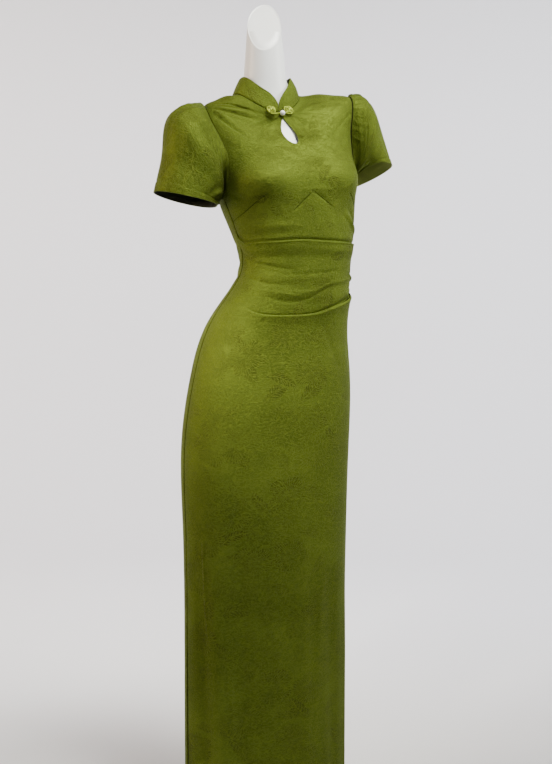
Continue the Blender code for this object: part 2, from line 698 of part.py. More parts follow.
def make_coil(side, finish, collection):
    """Half the fastening: a cord coiled over the seam, whose outer end leads to the button."""
    centre = on_front(side * COIL_ACROSS[side], COIL_BELOW, COIL_OUT)
    outward = on_front(side * (COIL_ACROSS[side] + CORD_RADIUS), COIL_BELOW, COIL_OUT) - centre
    outward /= np.linalg.norm(outward)
    lean = math.radians(COIL_LEAN)
    upward = np.array([0.0, math.sin(lean), math.cos(lean)])
    upward -= outward * (upward @ outward)
    upward /= np.linalg.norm(upward)
    ahead = np.cross(outward, upward) * side
    steps = int(COIL_TURN_STEPS * COIL_TURNS)
    points = []
    for step in range(steps + 1):
        share = step / steps
        turn = COIL_END + 2 * math.pi * COIL_TURNS * (share - 1)
        radius = COIL_EYE + COIL_PITCH * COIL_TURNS * share
        points.append(centre - outward * radius * math.cos(turn) + upward * radius * math.sin(turn)
                      + ahead * COIL_DOME * (1 - share) ** 2)
    reach = pearl_place() - points[-1]
    shorter = 1 - (PEARL_RADIUS + SEAM_GAP) / np.linalg.norm(reach)
    points += [points[-1] + reach * shorter * share for share in (0.5, 1.0)]
    return tube("frog_coil_left" if side > 0 else "frog_coil_right", points, CORD_RADIUS,
                finish, collection)


def make_pearl(finish, collection):
    shape = bmesh.new()
    bmesh.ops.create_uvsphere(shape, u_segments=16, v_segments=10, radius=PEARL_RADIUS)
    mesh = bpy.data.meshes.new("pearl_button")
    shape.to_mesh(mesh)
    shape.free()
    made = add_object("pearl_button", mesh, collection, finish)
    made.location = pearl_place()
    return made


def make_form(finish, collection):
    """The form: one smooth closed body from its flat bottom to the slanted neck."""
    angles = np.linspace(-180, 180, FORM_COLUMNS + 1)[:-1]
    levels = list(figure.level_at(FORM_HEIGHTS)) + list(figure.levels[SHOULDER_ROW:-1])
    clears = [FORM_CLEAR] * len(FORM_HEIGHTS) + FORM_TOP_CLEARS
    rings = [figure.point(angles, level, -clear + 0 * angles)
             for level, clear in zip(levels, clears)]
    neck = Rings(NECK)
    low = neck.base(angles, 0.0)
    end = Ring(*NECK[-1])
    turn = math.radians(NECK_CUT_TURN)
    for share in np.linspace(0, 1, NECK_ROWS):
        ring = neck.base(angles, share * neck.levels[-1])
        ahead = ((ring[:, 0] - end.centre_x) * math.sin(turn)
                 - (ring[:, 1] - end.centre_y) * math.cos(turn))
        cut = NECK_CUT_HEIGHT - NECK_CUT_SLOPE * ahead
        ring[:, 2] = low[:, 2] + share * (cut - low[:, 2])
        rings.append(ring)
    rings = np.array(rings)
    count = len(rings)
    points = list(rings.reshape(-1, 3)) + [rings[0].mean(axis=0), rings[-1].mean(axis=0)]
    number = np.arange(count * FORM_COLUMNS).reshape(count, FORM_COLUMNS)
    faces = []
    for row in range(count - 1):
        faces += strip_faces(number[row], number[row + 1], True)
    bottom, top = count * FORM_COLUMNS, count * FORM_COLUMNS + 1
    for column in range(FORM_COLUMNS):
        after = (column + 1) % FORM_COLUMNS
        faces.append((number[0][after], number[0][column], bottom))
        faces.append((number[-1][column], number[-1][after], top))
    return add_object("form_body", mesh_from("form_body", points, faces), collection, finish)


def cylinder(name, radius, low, high, segments, finish, collection, rim=0.0):
    shape = bmesh.new()
    bmesh.ops.create_cone(shape, cap_ends=True, segments=segments, radius1=radius,
                          radius2=radius, depth=high - low)
    mesh = bpy.data.meshes.new(name)
    shape.to_mesh(mesh)
    shape.free()
    made = add_object(name, mesh, collection, finish)
    made.location = (0, 0, (low + high) / 2)
    if rim:
        rounded = made.modifiers.new("rounded rim", "BEVEL")
        rounded.width = rim
        rounded.segments = 2
        rounded.limit_method = "ANGLE"
    return made


def main():
    for old in list(bpy.data.objects):
        bpy.data.objects.remove(old)
    dress = bpy.data.collections.new("cheongsam dress")
    guides = bpy.data.collections.new("cutters")
    bpy.context.scene.collection.children.link(dress)
    bpy.context.scene.collection.children.link(guides)

    satin = material("green satin", GREEN, 0.42)
    cord = material("green cord", DARK_GREEN, 0.45)
    shell = material("white shell", WHITE, 0.38)
    pearl = material("pearl", PEARL, 0.18)
    steel = material("brushed steel", STEEL, 0.35, 0.9)

    armhole_right = flat_outline_cutter("armhole_right", armhole_outline(-1), guides)
    armhole_left = flat_outline_cutter("armhole_left", armhole_outline(1), guides)
    keyhole = flat_outline_cutter("keyhole", keyhole_outline(24), guides)

    make_front_bodice([armhole_right, armhole_left, keyhole], satin, dress)
    make_front_waist(satin, dress)
    make_front_skirt(satin, dress)
    for side, armhole in ((-1, armhole_right), (1, armhole_left)):
        make_back(side, [armhole], satin, dress)
        make_sleeve(side, satin, dress)
        make_coil(side, cord, dress)
    make_collar(satin, dress)
    make_pearl(pearl, dress)
    make_form(shell, dress)
    cylinder("form_pole", POLE_RADIUS, BASE_THICKNESS + SEAM_GAP, FORM_BOTTOM - SEAM_GAP, 24,
             steel, dress)
    cylinder("form_base", BASE_RADIUS, 0.0, BASE_THICKNESS, 48, steel, dress, BASE_RIM)


main()
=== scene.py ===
"""The looks of the cheongsam dress on its form: fine cloth shells on the forms of the
packed panels, with their creases, seams and materials, and the camera and light.
Metres, +Z up, the front faces -Y and the wearer's right is -X."""
import math
from collections import namedtuple

import bmesh
import bpy
import numpy as np
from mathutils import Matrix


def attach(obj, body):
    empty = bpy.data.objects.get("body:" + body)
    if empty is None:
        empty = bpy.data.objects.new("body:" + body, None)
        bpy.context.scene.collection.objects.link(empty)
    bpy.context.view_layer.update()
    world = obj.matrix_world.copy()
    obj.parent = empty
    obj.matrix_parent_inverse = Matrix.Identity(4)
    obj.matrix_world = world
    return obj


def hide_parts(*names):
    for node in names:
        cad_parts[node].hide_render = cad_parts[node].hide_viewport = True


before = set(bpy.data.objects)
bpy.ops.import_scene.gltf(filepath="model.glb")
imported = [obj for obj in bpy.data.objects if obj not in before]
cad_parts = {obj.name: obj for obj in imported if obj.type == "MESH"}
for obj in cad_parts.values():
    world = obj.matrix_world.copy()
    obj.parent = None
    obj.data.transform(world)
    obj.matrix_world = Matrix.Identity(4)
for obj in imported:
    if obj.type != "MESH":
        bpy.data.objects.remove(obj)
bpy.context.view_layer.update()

# Sizes in metres and angles in degrees. CLOTH is the shell made here, FRONT_CLOTH the packed
# front's wall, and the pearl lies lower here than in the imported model.
CLOTH = 0.0014
SEAM_GAP = 0.0003
LAP = 0.0021
HEM_HEIGHT = 0.045
SLIT_TOP = 0.520
SLIT_OPENING = 0.0045
SLIT_REACH = 0.100
WAIST_FOLD = 1.116
WAIST_LAP = 0.012
FLAT_RADIUS = 0.130
KEYHOLE_TOP = 1.371
KEYHOLE_BOTTOM = 1.312
KEYHOLE_HALF_WIDTH = 0.0090
KEYHOLE_SPAN = 0.085
COLLAR_CORNER = 26.0
COLLAR_FRONT_HEIGHT = 0.30
COLLAR_FRONT_GAP = 0.25
COLLAR_FLAT_RADIUS = 0.062
ARMHOLE_GAP = 0.0007
CAP_OUT = 0.0028
CAP_STAND = 0.0030
NECK_SPAN = 0.0715
FRONT_CLOTH = 0.0016
CORD_RADIUS = 0.0017
COIL_PITCH = 0.0038
COIL_TURNS = 2.6
COIL_EYE = 0.0010
COIL_END = -1.22
COIL_DOME = 0.0016
COIL_LEAN = 34.0
COIL_ACROSS = {-1: 0.0190, 1: 0.0170}
COIL_BELOW = 0.0030
COIL_OUT = 0.0059
PEARL_RADIUS = 0.0054
PEARL_BELOW = 0.0270
PEARL_OUT = 0.0006
FORM_BOTTOM = 0.720
FORM_CLEAR = 0.0060
FORM_CORNER = 0.0025
FORM_REST = 0.0009

SIDE_WORD = {-1: "right", 1: "left"}
UP = np.array([0.0, 0.0, 1.0])
# Level directions to the photo's right and out of the photo
CAMERA_RIGHT = np.array([0.8988, -0.4384, 0.0])
TO_CAMERA = np.array([-0.4384, -0.8988, 0.0])
CAMERA_PLACE = (-0.9894, -2.0764, 0.84)
CAMERA_TURN = -26.0

Ring = namedtuple("Ring", "height centre_x centre_y half_width front_depth back_depth "
                          "front_drop back_drop roll twist")
FIGURE = [
    (0.045, 0.002, 0.004, 0.166, 0.097, 0.098, 0.000, 0.000, 0.0, 0.0),
    (0.300, 0.002, 0.004, 0.168, 0.099, 0.100, 0.000, 0.000, 0.0, 0.0),
    (0.560, 0.003, 0.004, 0.172, 0.102, 0.106, 0.000, 0.000, 0.0, 0.0),
    (0.720, 0.005, 0.004, 0.176, 0.103, 0.114, 0.000, 0.000, 0.0, 0.0),
    (0.860, 0.017, 0.004, 0.166, 0.102, 0.120, 0.000, 0.000, 0.0, 0.0),
    (0.960, 0.029, -0.002, 0.1455, 0.094, 0.108, 0.000, 0.000, 0.0, 0.0),
    (1.010, 0.0445, -0.010, 0.130, 0.088, 0.092, 0.000, 0.000, 0.0, 0.0),
    (1.060, 0.057, -0.016, 0.116, 0.083, 0.082, 0.000, 0.000, 0.0, 0.0),
    (1.120, 0.058, -0.014, 0.121, 0.090, 0.096, 0.000, 0.000, 1.0, 0.0),
    (1.190, 0.052, -0.004, 0.135, 0.101, 0.118, 0.000, 0.000, 4.0, 0.0),
    (1.240, 0.048, 0.006, 0.143, 0.106, 0.120, 0.002, 0.000, 6.0, 0.0),
    (1.300, 0.048, 0.018, 0.149, 0.094, 0.112, 0.020, 0.004, 8.0, 0.0),
    (1.350, 0.047, 0.028, 0.155, 0.082, 0.100, 0.040, 0.014, 8.5, 4.0),
    (1.392, 0.047, 0.036, 0.161, 0.073, 0.086, 0.059, 0.030, 7.8, 9.0),
    (1.414, 0.046, 0.040, 0.155, 0.066, 0.075, 0.067, 0.040, 7.0, 10.5),
    (1.422, 0.040, 0.044, 0.130, 0.061, 0.067, 0.059, 0.034, 7.0, 7.5),
    (1.428, 0.033, 0.047, 0.098, 0.057, 0.059, 0.053, 0.018, 6.5, 2.0),
    (1.429, 0.0235, 0.048, 0.0715, 0.053, 0.053, 0.045, 0.000, 6.0, -4.0),
    (1.439, 0.0230, 0.048, 0.0665, 0.052, 0.051, 0.045, 0.002, 6.0, -4.0),
    (1.462, 0.022, 0.046, 0.0535, 0.047, 0.047, 0.042, 0.002, 5.0, -4.0),
]
SHOULDER_ROW = 14
NECKLINE_ROW = 17
FULLNESS = 0.030
BUST_ANGLE = 40.0
BUST_HEIGHT = 1.242
BUST_OUT = 0.022
BUST_SPREAD = 22.0
BUST_TALL = 0.040
BUST_SIDEWAYS = 0.6

# Angle and height
ARMHOLE = [(-90.0, 1.420), (-72.0, 1.404), (-65.0, 1.370), (-66.0, 1.320), (-72.0, 1.262),
           (-90.0, 1.212), (-110.0, 1.262), (-116.0, 1.320), (-116.0, 1.370), (-108.0, 1.404)]

# Sizes of the woven flowers and leaves
FLOWER_SIZE = 0.088
LEAF_SIZE = 0.060

# The fold that crosses the skirt front: it fades out towards the wearer's right side.
# Angle and height
FOLD_EDGE = [(-90.0, 0.990), (-60.0, 0.984), (-48.0, 0.981), (-41.0, 0.9745), (-28.0, 0.969),
             (-14.0, 0.969), (7.0, 0.973), (24.5, 0.985), (51.0, 1.005), (75.0, 1.020),
             (90.0, 1.027)]

Fold = namedtuple("Fold", "rise spread angle_a height_a angle_b height_b angle_c height_c")
# How far the waist's folded edge lies above its level, by angle
WAIST_EDGE = [(-90.0, 0.0125), (-86.0, 0.0100), (-76.0, -0.0015), (-56.0, -0.0040), (-33.0, -0.0027),
              (-11.0, 0.0), (16.0, -0.0009), (64.0, 0.0023), (90.0, 0.0035)]
WAIST_FOLDS = [
    (0.0025, 0.008, -76, 1.060, -8, 1.044, 86, 1.052),
    (-0.0035, 0.009, -74, 1.043, -15, 1.026, 88, 1.044),
    (0.0028, 0.008, -66, 1.022, -8, 1.008, 86, 1.036),
    (-0.0032, 0.008, -64, 1.006, -5, 0.994, 88, 1.027),
    (-0.0022, 0.014, -70, 1.088, 5, 1.082, 84, 1.080),
]
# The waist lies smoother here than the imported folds
WAIST_SHARE = 0.17
SKIRT_FOLDS = [
    (0.0040, 0.012, -58, 0.560, -50, 0.300, -46, 0.060),
    (-0.0045, 0.014, -72, 0.500, -64, 0.300, -60, 0.060),
    (-0.0045, 0.015, -36, 0.780, -34, 0.450, -30, 0.060),
    (0.0040, 0.016, 6, 0.640, 10, 0.350, 14, 0.060),
    (-0.0045, 0.016, 34, 0.520, 38, 0.300, 42, 0.060),
    (0.0035, 0.013, 60, 0.450, 62, 0.260, 64, 0.060),
    (0.0040, 0.016, 118, 0.600, 122, 0.330, 126, 0.060),
    (-0.0045, 0.016, 146, 0.560, 150, 0.300, 152, 0.060),
    (0.0040, 0.016, -122, 0.560, -124, 0.300, -128, 0.060),
    (-0.0045, 0.016, -146, 0.620, -150, 0.330, -154, 0.060),
]

# Fine creases: rise, half width, then the places they run through, as angle and level
BODICE_CREASES = [
    (-0.0020, 0.0050, (-64, 1.372), (-50, 1.363), (-41, 1.349), (-36, 1.331)),
    (0.0014, 0.0050, (-62, 1.380), (-48, 1.376), (-38, 1.365), (-30, 1.350)),
    (-0.0016, 0.0042, (-64, 1.382), (-49, 1.393), (-35, 1.400), (-24, 1.399)),
    (-0.0018, 0.0045, (-64, 1.398), (-50, 1.414), (-38, 1.426), (-26, 1.423)),
    (0.0012, 0.0040, (-62, 1.391), (-48, 1.404), (-36, 1.413), (-26, 1.411)),
    (-0.0022, 0.0020, (-70, 1.398), (-62.3, 1.4108), (-54.4, 1.4186), (-46.2, 1.4241), (-39, 1.4285)),
    (-0.0014, 0.0040, (-24, 1.434), (-15, 1.418), (-11, 1.406)),
    (-0.0014, 0.0042, (-7, 1.421), (-14, 1.394), (-23, 1.359)),
    (0.0010, 0.0040, (-10, 1.425), (-19, 1.402), (-30, 1.372)),
    (0.0016, 0.0032, (2.5, 1.421), (6.4, 1.397), (8, 1.365), (8.4, 1.328)),
    (-0.0016, 0.0034, (5.4, 1.440), (12, 1.408), (14, 1.382), (15.6, 1.357)),
    (0.0014, 0.0040, (8, 1.440), (16, 1.417), (20, 1.392), (23, 1.366)),
    (-0.0012, 0.0042, (12, 1.440), (24, 1.424), (32, 1.404), (38, 1.380)),
    (-0.0012, 0.0048, (26, 1.428), (40, 1.416), (52, 1.398), (60, 1.376)),
    (0.0010, 0.0045, (30, 1.436), (44, 1.426), (56, 1.410), (63, 1.390)),
    (-0.0013, 0.0050, (62, 1.352), (52, 1.350), (42, 1.338), (34, 1.322)),
    (0.0014, 0.0040, (-6.4, 1.1775), (7.2, 1.1795), (19, 1.177)),
    (-0.0016, 0.0036, (1.5, 1.175), (-4.5, 1.1655), (-11.4, 1.152), (-18.3, 1.138)),
    (-0.0016, 0.0036, (1.5, 1.175), (6.7, 1.167), (13.1, 1.156), (19.3, 1.146)),
    (-0.0013, 0.0028, (-89, 1.125), (-66.5, 1.139), (-50, 1.157), (-37, 1.174)),
    (-0.0013, 0.0028, (89, 1.125), (66.5, 1.139), (50, 1.157), (37, 1.174)),
    (0.0030, 0.0050, (36, 1.134), (45, 1.122), (56, 1.109), (70, 1.100)),
    (-0.0022, 0.0045, (38, 1.144), (47, 1.133), (58, 1.120), (74, 1.113)),
    (-0.0012, 0.0070, (-80, 1.094), (-50, 1.090), (-18, 1.094)),
    (0.0010, 0.0070, (-70, 1.112), (-40, 1.106), (-12, 1.110)),
    (-0.0014, 0.0050, (-78, 1.186), (-68, 1.178), (-58, 1.163)),
    (-0.0012, 0.0050, (78, 1.190), (66, 1.182), (55, 1.168)),
    (-0.0010, 0.0080, (-60, 1.300), (-45, 1.290), (-28, 1.300)),
    (0.0010, 0.0080, (20, 1.300), (40, 1.285), (58, 1.292)),
]
FRONT_CREASES = [
    (-0.0020, 0.0036, (-75, 1.008), (-52.7, 0.9965), (-36.8, 0.990), (-20, 0.990)),
    (-0.0016, 0.0036, (-72, 1.036), (-52, 1.030), (-36, 1.023), (-20, 1.019)),
    (0.0014, 0.0022, (-68, 0.981), (-40, 0.9757), (-15.6, 0.9685), (-6, 0.969)),
    (-0.0016, 0.0036, (-50, 0.968), (-32.6, 0.9615), (-18.5, 0.9555), (-2.2, 0.959), (10.9, 0.976),
     (27, 0.993), (60, 1.008)),
    (0.0012, 0.0040, (-20, 0.976), (0, 0.975), (16, 0.990), (40, 1.003), (70, 1.016)),
    (-0.0012, 0.0040, (-58, 1.024), (-30, 1.012), (4, 1.014), (36, 1.026)),
    (-0.0024, 0.0030, (50, 1.028), (66, 1.019), (84, 1.013)),
    (0.0026, 0.0034, (52, 1.020), (68, 1.011), (84, 1.004)),
    (-0.0020, 0.0030, (56, 1.011), (70, 1.003), (84, 0.996)),
    (-0.0012, 0.0036, (46, 0.985), (62, 0.992), (80, 1.000)),
    (-0.0010, 0.0040, (-84, 0.960), (-62, 0.952), (-47, 0.947)),
    (0.0010, 0.0070, (-70, 1.040), (-45, 1.034), (-20, 1.037)),
    (0.0030, 0.0030, (-63, 0.493), (-61.6, 0.397), (-58.4, 0.302)),
    (0.0028, 0.0042, (-46.5, 0.372), (-41.1, 0.222), (-36.8, 0.066)),
    (-0.0018, 0.0050, (-33, 0.561), (-36.6, 0.536), (-42, 0.503), (-46, 0.470)),
    (-0.0012, 0.0050, (-10, 0.880), (-8, 0.800), (-12, 0.700)),
    (-0.0014, 0.0070, (22, 0.905), (30, 0.870), (40, 0.820)),
    (-0.0012, 0.0080, (50, 0.910), (58, 0.850), (66, 0.780)),
    (0.0012, 0.0070, (28, 0.420), (24, 0.260), (22, 0.090)),
    (-0.0014, 0.0080, (72, 0.640), (74, 0.480), (76, 0.300)),
    (0.0012, 0.0070, (-12, 0.520), (-10, 0.360), (-8, 0.180)),
]
BACK_CREASES = [
    (-0.0024, 0.0060, (100, 1.020), (130, 1.010), (168, 1.016)),
    (0.0016, 0.0060, (104, 1.034), (134, 1.024), (170, 1.030)),
    (-0.0020, 0.0060, (98, 1.052), (126, 1.044), (160, 1.050)),
    (-0.0016, 0.0070, (110, 0.985), (140, 0.978), (172, 0.984)),
    (-0.0015, 0.0060, (104, 1.095), (122, 1.080), (146, 1.074)),
    (-0.0018, 0.0060, (120, 1.360), (134, 1.350), (150, 1.330)),
    (0.0012, 0.0060, (120, 1.342), (132, 1.330), (146, 1.308)),
    (-0.0014, 0.0060, (118, 1.270), (132, 1.262), (150, 1.240)),
    (-0.0014, 0.0055, (126, 1.400), (146, 1.408), (164, 1.404)),
    (-0.0014, 0.0080, (112, 0.900), (120, 0.800), (124, 0.690)),
    (0.0012, 0.0080, (160, 0.840), (158, 0.700), (162, 0.560)),
    (-0.0014, 0.0070, (104, 0.420), (106, 0.280), (108, 0.120)),
]

# The sewn dart lines of the bust, drawn with painted shade along them, as angle and level
DARTS = [
    [(1.2, 1.1755), (-4.5, 1.1655), (-11.4, 1.152), (-18.3, 1.138)],
    [(1.8, 1.1755), (6.7, 1.167), (13.1, 1.156), (19.3, 1.146)],
    [(-88.6, 1.1255), (-66.5, 1.139), (-50, 1.157), (-37, 1.174)],
    [(88.6, 1.1255), (66.5, 1.139), (50, 1.157), (37, 1.174)],
]

SleeveRing = namedtuple("SleeveRing", "outer_x outer_z under_x under_z half_depth centre_y front_rise")
SLEEVES = {
    -1: [
        (-0.144, 1.3850, -0.0930, 1.2060, 0.060, 0.036, 0.000),
        (-0.172, 1.3795, -0.0960, 1.2020, 0.066, 0.035, 0.000),
        (-0.1965, 1.352, -0.0980, 1.1980, 0.068, 0.033, -0.001),
        (-0.2045, 1.300, -0.1000, 1.1940, 0.064, 0.032, -0.002),
        (-0.2120, 1.258, -0.1015, 1.1905, 0.061, 0.031, -0.004),
        (-0.2235, 1.211, -0.1030, 1.1870, 0.058, 0.030, -0.005),
    ],
    1: [
        (0.217, 1.4445, 0.1970, 1.2560, 0.056, 0.020, 0.000),
        (0.2345, 1.437, 0.1980, 1.2560, 0.062, 0.021, 0.002),
        (0.253, 1.414, 0.1985, 1.2555, 0.065, 0.023, 0.004),
        (0.270, 1.374, 0.1990, 1.2550, 0.064, 0.026, 0.007),
        (0.2885, 1.330, 0.1995, 1.2545, 0.061, 0.028, 0.010),
        (0.305, 1.294, 0.2000, 1.2540, 0.058, 0.030, 0.013),
    ],
}
Pleat = namedtuple("Pleat", "angle width rise")
PLEAT_SHARE = {-1: 1.0, 1: 0.45}
PLEATS = [(-62.0, 9.0, 0.0030), (-38.0, 8.0, 0.0036), (-15.0, 7.0, 0.0042), (8.0, 7.0, 0.0040),
          (30.0, 8.0, 0.0036), (56.0, 9.0, 0.0030)]
PLEAT_RINGS = 3.2
GATHERS = 34
GATHER_SEED = {-1: 7, 1: 11}
# How far the cap's top stands out at the armhole, and how far its next ring is moved
CAP_UPRIGHT = {-1: 0.0042, 1: 0.0}
CAP_LIFT = {-1: (-0.0020, 0.0, 0.0052), 1: (0.0, 0.0, 0.0)}
SLEEVE_COLUMNS = 200
SLEEVE_ROWS = 96
SLEEVE_FLAT_RADIUS = 0.062
SLEEVE_FLAT_LENGTH = 0.20

# Soft folds of the sleeves: rise, half width, then places as angle from the top and share
# of the way from the armhole to the hem
SLEEVE_CREASES = [
    (0.0022, 0.0060, (-30, 0.16), (0, 0.24), (24, 0.20), (46, 0.12)),
    (-0.0020, 0.0060, (-20, 0.30), (10, 0.38), (40, 0.34)),
    (0.0030, 0.0065, (52, 0.06), (78, 0.10), (104, 0.14), (132, 0.22)),
    (-0.0024, 0.0060, (66, 0.20), (92, 0.26), (118, 0.34)),
    (-0.0050, 0.0050, (158, 0.74), (140, 0.84), (118, 0.93)),
    (0.0060, 0.0045, (166, 0.80), (146, 0.90), (124, 0.98)),
    (-0.0030, 0.0050, (122, 0.62), (112, 0.78), (108, 0.97)),
    (0.0040, 0.0045, (128, 0.66), (122, 0.80), (120, 0.94)),
    (0.0016, 0.0080, (20, 0.50), (34, 0.66), (44, 0.86)),
    (-0.0016, 0.0080, (-30, 0.52), (-18, 0.70), (-10, 0.90)),
    (-0.0018, 0.0060, (70, 0.55), (60, 0.72), (56, 0.90)),
    (-0.0020, 0.0060, (-70, 0.24), (-96, 0.34), (-120, 0.48)),
    (0.0020, 0.0070, (-60, 0.50), (-78, 0.66), (-92, 0.86)),
    (-0.0024, 0.0060, (-150, 0.60), (-138, 0.76), (-130, 0.92)),
]

# The gathers that stand up along the top of each sleeve's cap, by side
CAP_CREASES = {
    -1: [(0.0026, 0.0040, (-4, 0.02), (6, 0.16), (12, 0.36)),
         (-0.0030, 0.0030, (12, 0.01), (20, 0.07), (24, 0.20))],
    1: [(0.0075, 0.0055, (-14, 0.00), (-2, 0.035), (8, 0.07)),
        (-0.0050, 0.0032, (20, 0.02), (28, 0.08), (32, 0.20))],
}

NECK = [
    (1.452, 0.0202, 0.0465, 0.0440, 0.0425, 0.0425, 0.000, 0.000, 7.0, 0.0),
    (1.500, 0.0190, 0.0450, 0.0400, 0.0390, 0.0390, 0.000, 0.000, 7.0, 0.0),
    (1.564, 0.0175, 0.0430, 0.0340, 0.0335, 0.0335, 0.000, 0.000, 7.0, 0.0),
]
NECK_CUT_HEIGHT = 1.567
NECK_CUT_SLOPE = 1.66
NECK_CUT_TURN = -24.0


def bell(distance, width):
    """1 at no distance, falling smoothly to nearly 0 two widths away."""
    return np.exp(-(distance / width) ** 2)


def unit(vectors):
    return vectors / np.linalg.norm(vectors, axis=-1, keepdims=True)


def left_of(along):
    """Unit directions a quarter turn to the left of flat directions."""
    along = unit(along)
    return np.stack([-along[:, 1], along[:, 0]], axis=1)


def natural_spline(knots, values):
    """Second derivatives of a natural cubic through each column of values."""
    count = len(knots)
    steps = np.diff(knots)
    system = np.eye(count)
    right = np.zeros_like(values)
    for row in range(1, count - 1):
        system[row, row - 1:row + 2] = (
            steps[row - 1], 2 * (steps[row - 1] + steps[row]), steps[row])
        right[row] = 6 * ((values[row + 1] - values[row]) / steps[row]
                          - (values[row] - values[row - 1]) / steps[row - 1])
    return np.linalg.solve(system, right)


def spline_between(values, bends, row, low, high, step=1.0):
    return (low * values[row] + high * values[row + 1]
            + ((low ** 3 - low) * bends[row] + (high ** 3 - high) * bends[row + 1]) * step ** 2 / 6)


def curve_points(rows, knots, places):
    """The points at places on a smooth curve through rows, which lie at knots 1 apart."""
    bends = natural_spline(knots, rows)
    row = np.clip(np.floor(places - knots[0]).astype(int), 0, len(rows) - 2)
    high = (places - knots[row])[:, None]
    return spline_between(rows, bends, row, 1 - high, high)


def through(points, count):
    """A smooth line through points, as count points."""
    rows = np.array(points, float)
    return curve_points(rows, np.arange(len(rows), dtype=float), np.linspace(0, len(rows) - 1, count))


def closed_curve(table, count):
    """A smooth closed curve through a table's rows, as count points."""
    rows = np.array(table, float)
    rows = np.concatenate([rows[-3:], rows, rows[:3]])
    return curve_points(rows, np.arange(-3.0, len(table) + 3.0), np.linspace(0, len(table), count + 1)[:-1])


class Rings:
    """A smooth surface through a table of rings; a level is a distance up it."""

    def __init__(self, rows, bust=False):
        self.rows = np.array(rows, float)
        shape = self.rows[:, [0, 3, 4]] * (1.0, 1.0, 0.5)
        self.levels = np.concatenate([[0.0], np.cumsum(
            np.linalg.norm(np.diff(shape, axis=0), axis=1))])
        self.bends = natural_spline(self.levels, self.rows)
        self.bust = bust

    def ring(self, level):
        level = np.asarray(level, float)
        row = np.clip(np.searchsorted(self.levels, level) - 1, 0, len(self.levels) - 2)
        step = self.levels[row + 1] - self.levels[row]
        low = ((self.levels[row + 1] - level) / step)[..., None]
        high = ((level - self.levels[row]) / step)[..., None]
        mixed = spline_between(self.rows, self.bends, row, low, high, step[..., None])
        return Ring(*np.moveaxis(mixed, -1, 0))

    def level_at(self, height):
        return np.interp(height, self.rows[:, 0], self.levels)

    def base(self, angle, level):
        """The bare surface; angle is in degrees, 0 at centre front, 90 at wearer's left."""
        ring = self.ring(np.asarray(level, float) + 0 * np.asarray(angle, float))
        turn = np.radians(np.asarray(angle, float))
        roll, twist = np.radians(ring.roll), np.radians(ring.twist)
        sine, cosine = np.sin(turn), np.cos(turn)
        ahead = cosine > 0
        full = 1 + FULLNESS * np.sin(2 * turn) ** 2
        sideways = ring.half_width * sine * full
        forward = np.where(ahead, ring.front_depth, ring.back_depth) * cosine * full
        rise = (np.sin(roll) * sideways
                - np.where(ahead, ring.front_drop, ring.back_drop) * cosine ** 2)
        if self.bust:
            bulge = bell(angle + BUST_ANGLE, BUST_SPREAD) + bell(angle - BUST_ANGLE, BUST_SPREAD)
            bulge = BUST_OUT * bulge * bell(ring.height - BUST_HEIGHT, BUST_TALL)
            sideways = sideways + BUST_SIDEWAYS * bulge * sine
            forward = forward + bulge * cosine
        sideways = sideways * np.cos(roll)
        return np.stack([ring.centre_x + sideways * np.cos(twist) - forward * np.sin(twist),
                         ring.centre_y - forward * np.cos(twist) - sideways * np.sin(twist),
                         ring.height + rise], axis=-1)

    def normal(self, angle, level):
        turn, climb = 0.2, 0.0004
        around = self.base(np.add(angle, turn), level) - self.base(np.add(angle, -turn), level)
        level = np.asarray(level, float)
        upward = self.base(angle, level + climb) - self.base(angle, level - climb)
        return unit(np.cross(around, upward))

    def point(self, angle, level, out=0.0):
        return self.base(angle, level) + np.asarray(out, float)[..., None] * self.normal(angle, level)

    def edge_angle(self, angle, level, toward):
        """The angle half a seam gap away from a seam, on the side given by toward."""
        turn = 0.2
        here = self.base(angle + toward * turn, level)
        speed = np.linalg.norm(here - self.base(angle, level), axis=-1) / turn
        return angle + toward * 0.5 * SEAM_GAP / speed


figure = Rings(FIGURE, bust=True)
NECKLINE = figure.levels[NECKLINE_ROW]
HEM = figure.level_at(HEM_HEIGHT)


def ramp(value, start, length):
    return np.clip((value - start) / length, 0, 1)


def smooth_ramp(value, start, length):
    share = ramp(value, start, length)
    return share * share * (3 - 2 * share)


def on_arc(at, start, middle, end, *values):
    """How far from start to end at lies, and there a smooth curve through three values."""
    share = np.clip((at - start) / (end - start), 0, 1)
    curve = np.polyfit([0, (middle - start) / (end - start), 1], values, 2)
    return share, np.polyval(curve, share)


def drape(angle, level):
    """The main folds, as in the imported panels."""
    height = figure.ring(level).height
    moved = np.zeros(np.broadcast(angle, level).shape)
    for fold in map(Fold._make, WAIST_FOLDS):
        share, line = on_arc(angle, fold.angle_a, fold.angle_b, fold.angle_c,
                             fold.height_a, fold.height_b, fold.height_c)
        faded = WAIST_SHARE * np.sqrt(np.sin(np.pi * share))
        moved += fold.rise * faded * bell(height - line, fold.spread)
    for fold in map(Fold._make, SKIRT_FOLDS):
        share, line = on_arc(height, fold.height_a, fold.height_b, fold.height_c,
                             fold.angle_a, fold.angle_b, fold.angle_c)
        apart = np.radians(angle - line) * FLAT_RADIUS
        faded = np.sin(np.pi * np.minimum(share, 0.5))
        moved += fold.rise * faded * bell(apart, fold.spread)
    return moved


def to_flat(angle, level):
    return np.stack([np.radians(angle) * FLAT_RADIUS, np.asarray(level, float)], axis=-1)


def from_flat(flat):
    return np.degrees(flat[..., 0] / FLAT_RADIUS), flat[..., 1]


